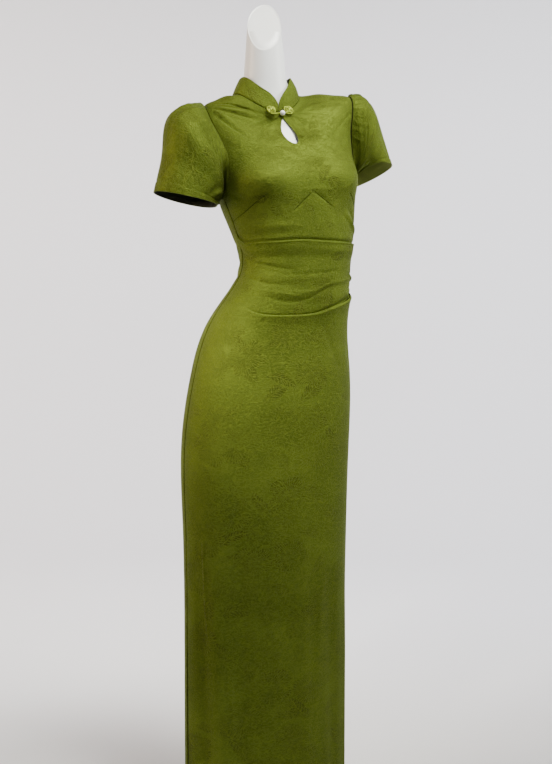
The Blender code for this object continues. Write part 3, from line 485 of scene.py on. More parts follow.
def crease_out(flat, table, place):
    """How far a table's creases move the cloth at flat points; place turns a row's places flat."""
    shape = flat.shape[:-1]
    flat = flat.reshape(-1, 2)
    moved = np.zeros(len(flat))
    for number, (rise, width, *points) in enumerate(table):
        line = through([place(*point) for point in points], 48)
        reach = 3 * width
        near = np.all((flat > line.min(axis=0) - reach) & (flat < line.max(axis=0) + reach), axis=1)
        apart = np.linalg.norm(flat[near, None, :] - line[None, :, :], axis=2)
        closest = apart.argmin(axis=1)
        share = closest / (len(line) - 1)
        fade = np.sin(np.pi * (0.04 + 0.92 * share)) ** 0.7
        uneven = 1 + 0.25 * np.sin(6 * share + 1.7 * number)
        moved[near] += rise * fade * uneven * bell(apart.min(axis=1), width)
    return moved.reshape(shape)


def add_object(name, mesh, materials, sharp=40.0):
    made = bpy.data.objects.new(name, mesh)
    bpy.context.scene.collection.objects.link(made)
    for material in materials:
        mesh.materials.append(material)
    if sharp:
        mesh.shade_smooth()
        mesh.set_sharp_from_angle(angle=math.radians(sharp))
    return made


def strip_faces(ring_a, ring_b, closed):
    """Quads between two rows of point numbers, as an array."""
    if closed:
        ring_a, ring_b = np.append(ring_a, ring_a[0]), np.append(ring_b, ring_b[0])
    return np.stack([ring_a[:-1], ring_a[1:], ring_b[1:], ring_b[:-1]], axis=1)


def grid_faces(number, around):
    """Quads between the rows of a grid of point numbers."""
    return np.concatenate([strip_faces(a, b, around) for a, b in zip(number[:-1], number[1:])])


def fan_faces(ring, middle):
    """Triangles from a closed row of point numbers to one point."""
    return [(a, b, middle) for a, b in zip(ring, np.roll(ring, -1))]


def mesh_from(name, points, faces):
    mesh = bpy.data.meshes.new(name)
    mesh.from_pydata(np.asarray(points).tolist(), [], [list(map(int, face)) for face in faces])
    mesh.validate()
    return mesh


def wall_faces(rows, columns, around):
    """The outer, inner and rim faces of a closed wall between two grids."""
    near = np.arange(rows * columns).reshape(rows, columns)
    far = near + rows * columns
    rim = [strip_faces(far[0], near[0], around), strip_faces(near[-1], far[-1], around)]
    if not around:
        rim.append(strip_faces(near[:, 0], far[:, 0], False))
        rim.append(strip_faces(far[:, -1], near[:, -1], False))
    return grid_faces(near, around), grid_faces(far, around)[:, ::-1], np.concatenate(rim)


def set_uv(mesh, flat):
    """The flat pattern as the UV map, in metres."""
    layer = mesh.uv_layers.new(name="flat")
    corners = np.zeros(len(mesh.loops), np.int32)
    mesh.loops.foreach_get("vertex_index", corners)
    layer.data.foreach_set("uv", flat[corners].astype(np.float32).ravel())


def grid_cloth(name, outer, inner, flat, materials, around=False):
    """A thin closed shell between two grids of points; its wrong side has the second material."""
    rows, columns = outer.shape[:2]
    front, back, rim = wall_faces(rows, columns, around)
    mesh = mesh_from(name, np.concatenate([outer.reshape(-1, 3), inner.reshape(-1, 3)]),
                     np.concatenate([front, back, rim]))
    flat = flat.reshape(-1, 2)
    set_uv(mesh, np.concatenate([flat, flat]))
    which = np.repeat([0, 1, 0], [len(front), len(back), len(rim)])
    mesh.polygons.foreach_set("material_index", which.astype(np.int32))
    return add_object(name, mesh, materials)


def cutter(outline):
    """A closed block through the flat cloth, with a flat outline."""
    ring = np.array(outline)
    before = np.roll(ring, 1, axis=0)
    if (before[:, 0] * ring[:, 1] - ring[:, 0] * before[:, 1]).sum() < 0:
        ring = ring[::-1]
    low, high = np.arange(2 * len(ring)).reshape(2, -1)
    points = [(x, y, z) for z in (-0.01, 0.02) for x, y in ring]
    faces = [low[::-1], high, *strip_faces(low, high, True)]
    return add_object("cutter", mesh_from("cutter", points, faces), [], sharp=0)


def cut_cloth(name, angles, levels, out, outlines):
    """A shell cut flat with Boolean outlines, then laid on the figure."""
    flat = to_flat(angles, levels)
    rows, columns = flat.shape[:2]
    low = np.concatenate([flat, np.zeros((rows, columns, 1))], axis=-1).reshape(-1, 3)
    mesh = mesh_from(name, np.concatenate([low + CLOTH * UP, low]),
                     np.concatenate(wall_faces(rows, columns, False)))
    made = add_object(name + "_flat", mesh, [], sharp=0)
    cutters = [cutter(outline) for outline in outlines]
    for block in cutters:
        cut = made.modifiers.new("cut", "BOOLEAN")
        cut.operation = "DIFFERENCE"
        cut.solver = "EXACT"
        cut.object = block
    graph = bpy.context.evaluated_depsgraph_get()
    mesh = bpy.data.meshes.new_from_object(made.evaluated_get(graph))
    for old in [made] + cutters:
        bpy.data.objects.remove(old)
    shape = bmesh.new()
    shape.from_mesh(mesh)
    bmesh.ops.remove_doubles(shape, verts=shape.verts, dist=1e-6)
    bmesh.ops.triangulate(shape, faces=[face for face in shape.faces if len(face.verts) > 4],
                          quad_method="BEAUTY", ngon_method="BEAUTY")
    shape.to_mesh(mesh)
    shape.free()
    places = np.zeros(len(mesh.vertices) * 3, np.float32)
    mesh.vertices.foreach_get("co", places)
    places = places.reshape(-1, 3).astype(float)
    angle, level = from_flat(places)
    moved = figure.point(angle, level, places[:, 2] + out(angle, level))
    mesh.vertices.foreach_set("co", moved.astype(np.float32).ravel())
    set_uv(mesh, places[:, :2])
    wrong = places[:, 2] < CLOTH / 2
    which = [1 if all(wrong[v] for v in face.vertices) else 0 for face in mesh.polygons]
    mesh.polygons.foreach_set("material_index", which)
    mesh.update()
    mesh.name = name
    return add_object(name, mesh, CLOTH_LOOKS)


def clustered(span, count, edge=0.0035, extra=5):
    """Shares from 0 to 1 of a span in metres, closer together at both ends."""
    near = np.linspace(0, edge / span, extra)
    return np.concatenate([near[:-1], np.linspace(edge / span, 1 - edge / span, count), 1 - near[-2::-1]])


def rolled_edge(distance):
    """How a cloth edge turns in towards its seam."""
    return -0.0015 * bell(distance, 0.0022)


def hem_groove(level):
    """The sewn line of the hem."""
    return -0.0006 * bell(level - HEM - 0.022, 0.0016)


def armhole_outline(side, count):
    shoulder = FIGURE[SHOULDER_ROW][0]
    return closed_curve([to_flat(-side * angle, figure.level_at(min(height, shoulder)))
                         for angle, height in ARMHOLE], count)


def front_level(height):
    levels = np.linspace(figure.level_at(BUST_HEIGHT), NECKLINE, 200)
    return float(np.interp(height, figure.base(0.0, levels)[:, 2], levels))


def keyhole_outline(count):
    outline = []
    for step in range(count):
        turn = 2 * math.pi * step / count
        share = 0.5 * (1 - math.cos(turn))
        width = KEYHOLE_HALF_WIDTH * math.sin(turn) * math.sin(0.5 * turn) ** 0.9
        height = KEYHOLE_TOP + (KEYHOLE_BOTTOM - KEYHOLE_TOP) * share
        outline.append((width * FLAT_RADIUS / KEYHOLE_SPAN, front_level(height)))
    return outline


def slit(levels):
    down = ramp(-figure.ring(levels).height, -SLIT_TOP, SLIT_TOP - HEM_HEIGHT)
    return np.degrees(0.5 * SLIT_OPENING * down ** 0.7 / SLIT_REACH)


class Value:
    """A number in a material's nodes, which + - * and / work on."""

    def __init__(self, look, socket):
        self.look = look
        self.socket = socket

    def __add__(self, other):
        return self.look.math("ADD", self, other)

    def __sub__(self, other):
        return self.look.math("SUBTRACT", self, other)

    def __rsub__(self, other):
        return self.look.math("SUBTRACT", other, self)

    def __mul__(self, other):
        return self.look.math("MULTIPLY", self, other)

    def __truediv__(self, other):
        return self.look.math("DIVIDE", self, other)


class Look:
    """A node material, with short ways to add its nodes."""

    def __init__(self, name, color, roughness, metallic=0.0):
        self.material = bpy.data.materials.new(name)
        self.material.use_nodes = True
        self.nodes = self.material.node_tree.nodes
        self.links = self.material.node_tree.links
        self.shader = self.nodes["Principled BSDF"]
        self.set("Base Color", (*color, 1.0))
        self.set("Roughness", roughness)
        self.set("Metallic", metallic)
        self.material.diffuse_color = (*color, 1.0)

    def set(self, name, value):
        self.shader.inputs[name].default_value = value

    def join(self, name, value):
        self.put(self.shader.inputs[name], value)

    def add(self, kind, **settings):
        node = self.nodes.new("ShaderNode" + kind)
        for name, value in settings.items():
            setattr(node, name, value)
        return node

    def put(self, socket, value):
        if isinstance(value, Value):
            self.links.new(value.socket, socket)
        else:
            socket.default_value = value

    def chain(self, node, values, output=0):
        """Fill a node's inputs in order and return one of its outputs."""
        for socket, value in zip(node.inputs, values):
            self.put(socket, value)
        return Value(self, node.outputs[output])

    def math(self, operation, *values, clamp=False):
        return self.chain(self.add("Math", operation=operation, use_clamp=clamp), values)

    def vector(self, operation, *values):
        return self.chain(self.add("VectorMath", operation=operation), values,
                          "Value" if operation == "LENGTH" else "Vector")

    def split(self, vector):
        node = self.add("SeparateXYZ")
        self.put(node.inputs[0], vector)
        return [Value(self, output) for output in node.outputs]

    def flat_place(self):
        """The place on the flat pattern, in metres."""
        return Value(self, self.add("UVMap", uv_map="flat").outputs[0])

    def place(self):
        return Value(self, self.add("TexCoord").outputs["Object"])

    def mix(self, share, first, second):
        node = self.add("Mix", data_type="RGBA")
        self.put(node.inputs["Factor"], share)
        for socket, value in ((node.inputs[6], first), (node.inputs[7], second)):
            self.put(socket, (*value, 1.0) if isinstance(value, tuple) else value)
        return Value(self, node.outputs[2])

    def noise(self, place, scale, detail=2.0, roughness=0.5, distortion=0.0, output=0):
        node = self.add("TexNoise")
        self.put(node.inputs["Vector"], place)
        node.inputs["Scale"].default_value = scale
        node.inputs["Detail"].default_value = detail
        node.inputs["Roughness"].default_value = roughness
        node.inputs["Distortion"].default_value = distortion
        return Value(self, node.outputs[output])

    def step(self, value, low, high):
        """0 below low, 1 above high, smooth between them."""
        node = self.add("MapRange", interpolation_type="SMOOTHSTEP")
        return self.chain(node, (value, low, high))

    def bump(self, height, distance, strength):
        node = self.add("Bump")
        node.inputs["Strength"].default_value = strength
        node.inputs["Distance"].default_value = distance
        self.put(node.inputs["Height"], height)
        self.join("Normal", Value(self, node.outputs[0]))

    def cells(self, place, size, random):
        """(offset from the cell's own point, its random numbers) of scattered places."""
        node = self.add("TexVoronoi", voronoi_dimensions="2D", feature="F1")
        self.put(node.inputs["Vector"], place)
        node.inputs["Scale"].default_value = 1 / size
        node.inputs["Randomness"].default_value = random
        color = self.add("SeparateColor")
        self.links.new(node.outputs["Color"], color.inputs[0])
        chances = [Value(self, output) for output in color.outputs]
        return self.vector("SUBTRACT", place, Value(self, node.outputs["Position"])), chances


def flowers(look, place, size):
    """Scattered blossoms: fine threads along the petals, and how full the petals are."""
    offset, chance = look.cells(place, size, 0.8)
    x, y, _ = look.split(offset)
    away = look.vector("LENGTH", offset)
    turn = look.math("ARCTAN2", y, x) + chance[0] * 6.28
    reach = chance[1] * (0.12 * size) + 0.32 * size
    fill = None
    for share, phase in ((1.0, 0.0), (0.66, 0.63), (0.36, 0.2)):
        lobe = look.math("ABSOLUTE", look.math("COSINE", turn * 2.5 + phase))
        petal = reach * (look.math("POWER", lobe, 0.6) * (0.36 * share) + 0.64 * share)
        ratio = away / petal
        inside = 1.0 - look.step(ratio, 0.97, 1.03)
        shade = inside * (look.math("MULTIPLY", ratio, ratio, clamp=True) * 0.75 + 0.25)
        fill = shade if fill is None else fill * (1.0 - inside) + shade
    threads = look.math("ABSOLUTE", look.math("SINE", turn * 21.0))
    return (1.0 - look.step(threads, 0.25, 0.60)) * fill, fill


def leaves(look, place, size):
    """Scattered pointed leaves: their midrib and side veins, and their filling."""
    offset, chance = look.cells(place, size, 0.9)
    turned = look.add("VectorRotate", rotation_type="Z_AXIS")
    look.put(turned.inputs["Vector"], offset)
    look.put(turned.inputs["Angle"], chance[0] * 6.28)
    x, y, _ = look.split(Value(look, turned.outputs[0]))
    along = x / (0.46 * size)
    square = along * along
    across = look.math("ABSOLUTE", y - square * (0.10 * size))
    half = (1.0 - square) * (chance[1] * (0.08 * size) + 0.14 * size)
    fill = 1.0 - look.step(across / look.math("MAXIMUM", half, 0.00001), 0.9, 1.05)
    rib = 1.0 - look.step(across, 0.0003, 0.0010)
    veins = 1.0 - look.step(look.math("PINGPONG", across * 0.9 + x, 0.0028), 0.0005, 0.0014)
    return look.math("MAXIMUM", rib, veins * 0.7) * fill, fill


def satin_look():
    """Olive green satin jacquard: flowers and leaves in the weave, and a scribbled crepe grain."""
    look = Look("satin_jacquard", (0.080, 0.106, 0.007), 0.46, 0.46)
    flat = look.flat_place()
    uneven = look.vector("SUBTRACT", look.noise(flat, 60.0, 1.0, output="Color"), (0.5, 0.5, 0.5))
    drawn = look.vector("ADD", flat, look.vector("MULTIPLY", uneven, (0.010, 0.010, 0.0)))
    threads, petals = flowers(look, drawn, FLOWER_SIZE)
    veins, blades = leaves(look, look.vector("ADD", drawn, (0.41, 0.17, 0.0)), LEAF_SIZE)
    clear = 1.0 - petals
    blades = blades * clear
    lines = look.math("MAXIMUM", threads, veins * clear)
    faint = look.step(look.noise(flat, 8.0, 1.0), 0.38, 0.64) * 0.8 + 0.2
    crepe = look.noise(look.vector("MULTIPLY", flat, (0.75, 1.0, 1.0)), 300.0, 3.0, 0.62, 0.8)
    scribble = look.noise(look.vector("MULTIPLY", flat, (0.8, 1.0, 1.0)), 95.0, 1.0, 0.5, 2.6)
    scribble = 1.0 - look.step(look.math("ABSOLUTE", scribble - 0.5), 0.012, 0.060)
    cloudy = look.step(look.noise(flat, 6.0, 2.0), 0.35, 0.68)
    color = look.mix(cloudy, (0.048, 0.065, 0.0088), (0.074, 0.099, 0.0135))
    for share, tint in ((blades * faint * 0.84, (0.024, 0.027, 0.0048)),
                        (petals * faint * 0.74, (0.027, 0.032, 0.0050)),
                        (lines * faint * 0.50, (0.132, 0.172, 0.023)),
                        (scribble * 0.36, (0.132, 0.172, 0.023)),
                        (look.step(crepe, 0.32, 0.70) * 0.40, (0.108, 0.140, 0.017))):
        color = look.mix(share, color, tint)
    look.join("Base Color", color)
    look.join("Roughness", crepe * 0.16 + 0.44)
    raised = (lines * 0.5 - blades * 0.25) * faint
    look.bump(crepe * 0.7 + look.noise(flat, 1500.0, 1.0) * 0.2 + scribble * 0.45 + raised, 0.0013, 0.9)
    look.set("Specular IOR Level", 0.04)
    look.set("Specular Tint", (0.52, 0.58, 0.12, 1.0))
    look.set("Sheen Weight", 0.05)
    look.set("Sheen Roughness", 0.45)
    look.set("Sheen Tint", (0.70, 0.70, 0.20, 1.0))
    return look.material


def grain_look(name, color, roughness, metallic, dark, light, scale, detail=2.0, bump=None, **settings):
    """A plain material with a fine grain; settings name the shader's other inputs."""
    look = Look(name, color, roughness, metallic)
    grain = look.noise(look.place(), scale, detail)
    look.join("Base Color", look.mix(grain, dark, light))
    if bump:
        look.bump(grain, *bump)
    for setting, value in settings.items():
        look.set(setting.replace("_", " "), value)
    return look.material


# A copy of the satin's wrong side in given colours: painted shade for the dark insides, and painted light
# for the far sleeve's lit inside.
def wrong_side_look(name, dark, light):
    look = Look(name, light, 0.8)
    grain = look.noise(look.flat_place(), 500.0)
    look.join("Base Color", look.mix(grain, dark, light))
    look.bump(grain, 0.0004, 0.5)
    return look.material


def shell_look():
    look = Look("white_shell", (0.83, 0.835, 0.84), 0.36)
    cloud = look.noise(look.place(), 14.0, 3.0)
    fine = look.noise(look.place(), 420.0)
    look.join("Base Color", look.mix(cloud, (0.70, 0.705, 0.71), (0.74, 0.745, 0.75)))
    look.join("Roughness", fine * 0.10 + 0.31)
    look.bump(fine, 0.0001, 0.15)
    return look.material


def steel_look():
    look = Look("brushed_steel", (0.56, 0.57, 0.58), 0.34, 0.95)
    brushed = look.noise(look.vector("MULTIPLY", look.place(), (1.0, 1.0, 14.0)), 90.0, 3.0)
    look.join("Base Color", look.mix(brushed, (0.48, 0.49, 0.50), (0.62, 0.63, 0.64)))
    look.join("Roughness", brushed * 0.18 + 0.26)
    look.bump(brushed, 0.0001, 0.25)
    return look.material


def keep(piece, slot, *nodes):
    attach(piece, "root")
    if nodes:
        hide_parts(*nodes)
    return piece


satin = satin_look()
cord = grain_look("satin_cord", (0.115, 0.146, 0.014), 0.30, 0.62, (0.150, 0.185, 0.018),
                  (0.240, 0.290, 0.040), 2600.0, bump=(0.00012, 0.6), Specular_IOR_Level=0.10,
                  Specular_Tint=(0.60, 0.66, 0.20, 1.0))
# Near-black, matt tubes that stand in for the shadow in seam gaps: painted shade.
seam_shadow = grain_look("painted_seam_shadow", (0.008, 0.009, 0.002), 1.0, 0.0, (0.006, 0.007, 0.002),
                    (0.012, 0.013, 0.003), 1800.0, 1.0, Specular_IOR_Level=0.03)
pearl = grain_look("pearl", (0.86, 0.85, 0.80), 0.16, 0.0, (0.80, 0.78, 0.73), (0.90, 0.90, 0.87), 160.0,
                   Coat_Weight=0.6, Coat_Roughness=0.06, Sheen_Weight=0.2)
# Near-black colours on the inner faces of the cloth: painted shade for the shadow inside the near sleeve
# and the other hollows.
shaded_wrong_side = wrong_side_look("satin_wrong_side_painted_shade", (0.010, 0.012, 0.002), (0.024, 0.028, 0.005))
# A lighter green copy of the wrong side for the far sleeve's inside: painted light, where the side light
# falls into it.
lit_wrong_side = wrong_side_look("satin_wrong_side_painted_light", (0.150, 0.185, 0.024),
                                 (0.230, 0.280, 0.040))
shell, steel = shell_look(), steel_look()
CLOTH_LOOKS = [satin, shaded_wrong_side]


def waist_edge(angle):
    """The level of the waist's folded top edge."""
    line = through(WAIST_EDGE, 300)
    return figure.level_at(WAIST_FOLD) + np.interp(angle, line[:, 0], line[:, 1])


def bodice_out(angle, level):
    """How far the bodice's creases move its cloth, and how far its side edges turn in."""
    side = (90 - np.abs(angle)) * 0.0024
    moved = crease_out(to_flat(angle, level), BODICE_CREASES, to_flat)
    return moved * smooth_ramp(side, 0.0, 0.006), rolled_edge(side)


def make_bodice():
    hem = figure.level_at(WAIST_FOLD - WAIST_LAP)
    levels = hem + (NECKLINE - SEAM_GAP / 2 - hem) * clustered(0.40, 150)
    left = figure.edge_angle(-90.0, levels, 1)[:, None]
    right = figure.edge_angle(90.0, levels, -1)[:, None]
    angles = left + (right - left) * clustered(0.42, 165)
    levels = levels[:, None] + 0 * angles

    def out(angle, level):
        creased, rolled = bodice_out(angle, level)
        below = smooth_ramp(level, hem, 0.020)
        dip = -0.0018 * bell(level - waist_edge(angle) - 0.0022, 0.0024)
        return creased * below + dip + rolled + rolled_edge(NECKLINE - level)

    openings = [armhole_outline(-1, 120), armhole_outline(1, 120), keyhole_outline(64)]
    made = cut_cloth("bodice_front_cloth", angles, levels, out, openings)
    return keep(made, "satin", "front_bodice")


def fold_edge_level(angle):
    """The level of the folded edge that crosses the skirt front."""
    line = through(FOLD_EDGE, 400)
    return figure.level_at(np.interp(angle, line[:, 0], line[:, 1]))


def fold_strength(angle):
    """The skirt's fold is full at the wearer's left and fades out before the right side."""
    return smooth_ramp(angle, -56.0, 26.0)


def make_front():
    """The draped waist and the skirt front in one sheet, with the fold between them."""
    columns = -90.0 + 180.0 * clustered(0.42, 150)
    top, edge, strength = waist_edge(columns), fold_edge_level(columns), fold_strength(columns)
    # Rows lie close together at the hem, on both sides of the fold's edge and at the top
    below = np.array([0.0, 0.0004, 0.0009, 0.0016, 0.0026, 0.0040, 0.006, 0.009, 0.013, 0.018])
    above = np.array([0.0002, 0.0006, 0.0012, 0.0020, 0.0032, 0.005, 0.008, 0.012])
    lap = np.array([0.010, 0.006, 0.003, 0.0014, 0.0006, 0.0])
    low, high = edge - below[-1], edge + above[-1]
    climb = np.concatenate([[0, 0.0008, 0.002], np.linspace(0.004, 1, 190)])[:-1, None]
    waist = high + (top - lap[0] - high) * np.linspace(0, 1, 52)[1:-1, None]
    levels = np.concatenate([HEM + (low - HEM) * climb, edge - below[::-1, None],
                             edge + above[:, None], waist, top - lap[:, None]])
    drawn = slit(levels[:, 0])
    left = figure.edge_angle(-90.0, levels[:, 0], 1) + drawn
    right = figure.edge_angle(90.0, levels[:, -1], -1) - drawn
    angles = left[:, None] + (right - left)[:, None] * (columns + 90) / 180
    side = (90 - np.abs(columns)) * 0.0023 + 0 * levels
    past, from_top = levels - edge, top - levels
    # The lip of the upper sheet over the fold, its round edge and the gutter behind it
    lip = 0.0046 * strength * np.where(past <= 0, np.exp(-np.maximum(0, -past - 0.004) / 0.016),
                                       np.clip(1 - past / 0.0005, 0, 1))
    rounded = np.clip((past + 0.0040) / 0.0040, 0, 1)
    lip -= 0.0024 * strength * (1 - np.sqrt(1 - rounded ** 2)) * (past <= 0)
    wide = 0.7 + 2.0 * smooth_ramp(columns, 8.0, 45.0)
    gutter = -0.0013 * wide * strength * (past > 0) * bell(past - 0.0012 * wide, 0.0018 * wide)
    folds = drape(angles, levels) * (1 - bell(past, 0.015) * strength)
    creases = crease_out(to_flat(angles, levels), FRONT_CREASES, to_flat)
    lapped = smooth_ramp(levels, top - 0.032, 0.020)
    top_edge = 0.0011 * bell(from_top, 0.0030) - 0.0010 * bell(from_top, 0.0006)
    out = (LAP * lapped + top_edge + lip + gutter + rolled_edge(side) + hem_groove(levels)
           + (folds + creases) * smooth_ramp(side, 0.0, 0.010) * (1 - lapped))
    made = grid_cloth("waist_and_skirt_front_cloth", figure.point(angles, levels, out + CLOTH),
                      figure.point(angles, levels, out), to_flat(angles, levels), CLOTH_LOOKS)
    return keep(made, "satin", "front_waist", "front_skirt")


def make_back(side):
    levels = HEM + (NECKLINE - SEAM_GAP / 2 - HEM) * clustered(1.45, 330)
    outer = (figure.edge_angle(side * 90.0, levels, side) + side * slit(levels))[:, None]
    middle = figure.edge_angle(side * 180.0, levels, -side)[:, None]
    left, right = (outer, middle) if side > 0 else (middle, outer)
    angles = left + (right - left) * clustered(0.22, 66)
    levels = levels[:, None] + 0 * angles

    def out(angle, level):
        from_seam = np.minimum(np.abs(angle) - 90, 180 - np.abs(angle)) * 0.0022
        mirrored = to_flat(np.abs(angle), level + (0.0 if side > 0 else 0.006))
        moved = drape(angle, level) + crease_out(mirrored, BACK_CREASES, to_flat)
        rolled = rolled_edge(from_seam) + rolled_edge(NECKLINE - level)
        return moved * smooth_ramp(from_seam, 0.0, 0.012) + rolled + hem_groove(level)

    name = "back_" + SIDE_WORD[side]
    made = cut_cloth(name + "_cloth", angles, levels, out, [armhole_outline(side, 120)])
    return keep(made, "satin", name)


def make_collar():
    """The stand collar, with a stitched line just inside its edges."""
    low, high = NECKLINE + SEAM_GAP / 2, figure.levels[-1]
    gap = float(figure.edge_angle(0.0, np.array(low), 1)) + COLLAR_FRONT_GAP
    front = gap + (COLLAR_CORNER * 1.6 - gap) * np.linspace(0, 1, 46) ** 1.4
    behind = np.linspace(front[-1], 360 - front[-1], 130)[1:-1]
    angles = np.concatenate([front, behind, 360 - front[::-1]])
    corner = np.clip(np.minimum(angles, 360 - angles) / COLLAR_CORNER, 0, 1)
    top = COLLAR_FRONT_HEIGHT + (1 - COLLAR_FRONT_HEIGHT) * np.sqrt(1 - (1 - corner) ** 2)
    tall = (high - low) * top * (1 + 0.23 * bell(angles - 50, 28))
    share = clustered(0.038, 22, 0.003, 6)[:, None]
    levels = low + tall * share
    grid = angles + 0 * levels
    from_top = tall * (1 - share)
    stitch = -0.0004 * bell(from_top - 0.0035, 0.0009)
    soft = 0.0006 * np.sin(np.radians(grid) * 5 + 1.0) * np.sin(math.pi * share)
    edge = -0.0005 * bell(from_top, 0.0012)
    seam_roll = rolled_edge(levels - low) * 0.7
    outer = figure.point(grid, levels, 0.0019 + stitch + soft + edge + seam_roll)
    inner = figure.point(grid, levels, 0.0001 + soft + seam_roll - edge)
    flat = np.stack([np.radians(grid) * COLLAR_FLAT_RADIUS, levels], axis=-1)
    made = grid_cloth("collar_cloth", outer, inner, flat, CLOTH_LOOKS)
    return keep(made, "satin", "collar")


def sleeve_ring(row, turn, swell):
    """One ring round a sleeve, from its top over the front, made wider by swell."""
    top = np.array([row.outer_x, 0.0, row.outer_z])
    under = np.array([row.under_x, 0.0, row.under_z])
    middle, reach = (top + under) / 2, (top - under) / 2
    cosine, sine = np.cos(turn)[:, None], np.sin(turn)[:, None]
    ring = middle + reach * cosine * (1 + swell / np.linalg.norm(reach))
    ring[:, 1] = row.centre_y - (sine * (row.half_depth + swell)).ravel()
    ring[:, 2] += row.front_rise * sine.ravel()
    return ring


def inset(outline, distance):
    across = left_of(np.roll(outline, -1, axis=0) - np.roll(outline, 1, axis=0))
    across *= np.sign((across * (outline.mean(axis=0) - outline)).sum(axis=1, keepdims=True))
    return outline + distance * across


def sleeve_flat(angle, share):
    return np.stack([np.radians(angle) * SLEEVE_FLAT_RADIUS, share * SLEEVE_FLAT_LENGTH], axis=-1)


def sleeve_grid(side, turn, from_top):
    """The sleeve's smooth surface, and each row's share of the way to the hem."""
    gather = 0
    for pleat in map(Pleat._make, PLEATS):
        gather = gather + PLEAT_SHARE[side] * pleat.rise * bell(from_top - pleat.angle, pleat.width)
    cap = np.maximum(0, np.cos(turn))
    upright = CAP_UPRIGHT[side] * cap ** 6
    angle, level = from_flat(inset(armhole_outline(side, SLEEVE_COLUMNS), ARMHOLE_GAP))
    rings = [figure.point(angle, level, upright - 0.0006),
             figure.point(angle, level, CAP_OUT + CAP_STAND * cap ** 2 + 0.4 * upright)
             + cap[:, None] ** 6 * CAP_LIFT[side]]
    for number, row in enumerate(map(SleeveRing._make, SLEEVES[side])):
        faded = max(0.0, 1 - number / PLEAT_RINGS)
        rings.append(sleeve_ring(row, turn, (gather * faded)[:, None]))
    count = len(rings)
    places = (count - 1) * np.linspace(0, 1, SLEEVE_ROWS) ** 1.25
    grid = curve_points(np.array(rings).reshape(count, -1), np.arange(count, dtype=float), places)
    return grid.reshape(SLEEVE_ROWS, -1, 3), ((places - 1) / (count - 2))[:, None]


def sleeve_out(side, angles, shares):
    """How far the sleeve's creases and the fine gathers of its cap move its cloth."""
    spot = sleeve_flat(angles, shares)
    moved = 0.62 * crease_out(spot, SLEEVE_CREASES, sleeve_flat)
    moved += crease_out(spot, CAP_CREASES[side], sleeve_flat)
    rng = np.random.default_rng(GATHER_SEED[side])
    for number in range(GATHERS):
        centre = -104 + 208 * (number + 0.5 + rng.uniform(-0.35, 0.35)) / GATHERS
        width, length = rng.uniform(1.7, 3.0), rng.uniform(0.10, 0.34)
        rise = rng.uniform(0.0004, 0.0012) * (1 if number % 2 else -1)
        fade = smooth_ramp(shares, -0.02, 0.05) * np.exp(-(np.maximum(shares, 0) / length) ** 1.6)
        moved += rise * fade * bell(angles - centre * (1 + 0.10 * shares), width)
    return moved * smooth_ramp(shares, -0.05, 0.10) * PLEAT_SHARE[side] ** 0.5


def make_sleeve(side):
    turn = np.linspace(0, 2 * math.pi, SLEEVE_COLUMNS + 1)[:-1]
    from_top = np.degrees((turn + math.pi) % (2 * math.pi) - math.pi)
    grid, share = sleeve_grid(side, turn, from_top)
    around = np.roll(grid, -1, axis=1) - np.roll(grid, 1, axis=1)
    normal = np.cross(np.gradient(grid, axis=0), around)
    if ((grid - grid.mean(axis=1, keepdims=True)) * normal).sum() < 0:
        normal = -normal
    normal = unit(normal)
    angles = from_top + 0 * share
    shares = share + 0 * angles
    hem = -0.0007 * bell(shares - 0.925, 0.006) + 0.0004 * smooth_ramp(shares, 0.925, 0.01)
    outer = grid + normal * (sleeve_out(side, angles, shares) + hem)[..., None]
    if side < 0:
        # The front reaches over the underarm
        over = 0.0150 * smooth_ramp(shares, 0.02, 0.50) - 0.0060 * smooth_ramp(shares, 0.70, 0.30)
        outer = outer + (over * bell(angles - 122, 40))[..., None] * CAMERA_RIGHT
        # The near sleeve's inside keeps the near-black wrong side: painted shade.
        looks = CLOTH_LOOKS
    else:
        # The front of the hem is drawn up
        drawn = 0.013 * smooth_ramp(shares, 0.45, 0.55) * bell(angles - 112, 48)
        outer = outer + drawn[..., None] * UP
        # The far sleeve's inside gets the lit copy of the wrong side: painted light.
        looks = [satin, lit_wrong_side]
    inner = outer - normal * (CLOTH + 0.0003)
    grids = [each[::-1, ::-side] for each in (outer, inner, sleeve_flat(angles, shares))]
    name = "sleeve_" + SIDE_WORD[side]
    return keep(grid_cloth(name + "_cloth", *grids, looks, around=True), "satin", name)


def ribbon(name, lines, width, material):
    """Narrow raised lines on the front cloth, such as sewn seams; each line is angle and level."""
    steps = 40
    points, faces = [], []
    for line in lines:
        flat = to_flat(*through(line, steps).T)
        taper = 0.5 * width * np.sin(math.pi * np.linspace(0.04, 0.96, steps)) ** 0.5
        across = left_of(np.gradient(flat, axis=0)) * taper[:, None]
        spots = flat[:, None] + across[:, None] * np.array([[-1], [0], [1]])
        angle, level = from_flat(spots)
        lift = CLOTH + np.array([0.0004, 0.0010, 0.0004])
        raised = figure.point(angle, level, sum(bodice_out(angle, level)) + lift)
        number = len(points) + np.arange(3 * steps).reshape(steps, 3)
        points += list(raised.reshape(-1, 3))
        faces += list(grid_faces(number, False))
    return add_object(name, mesh_from(name, points, faces), [material])


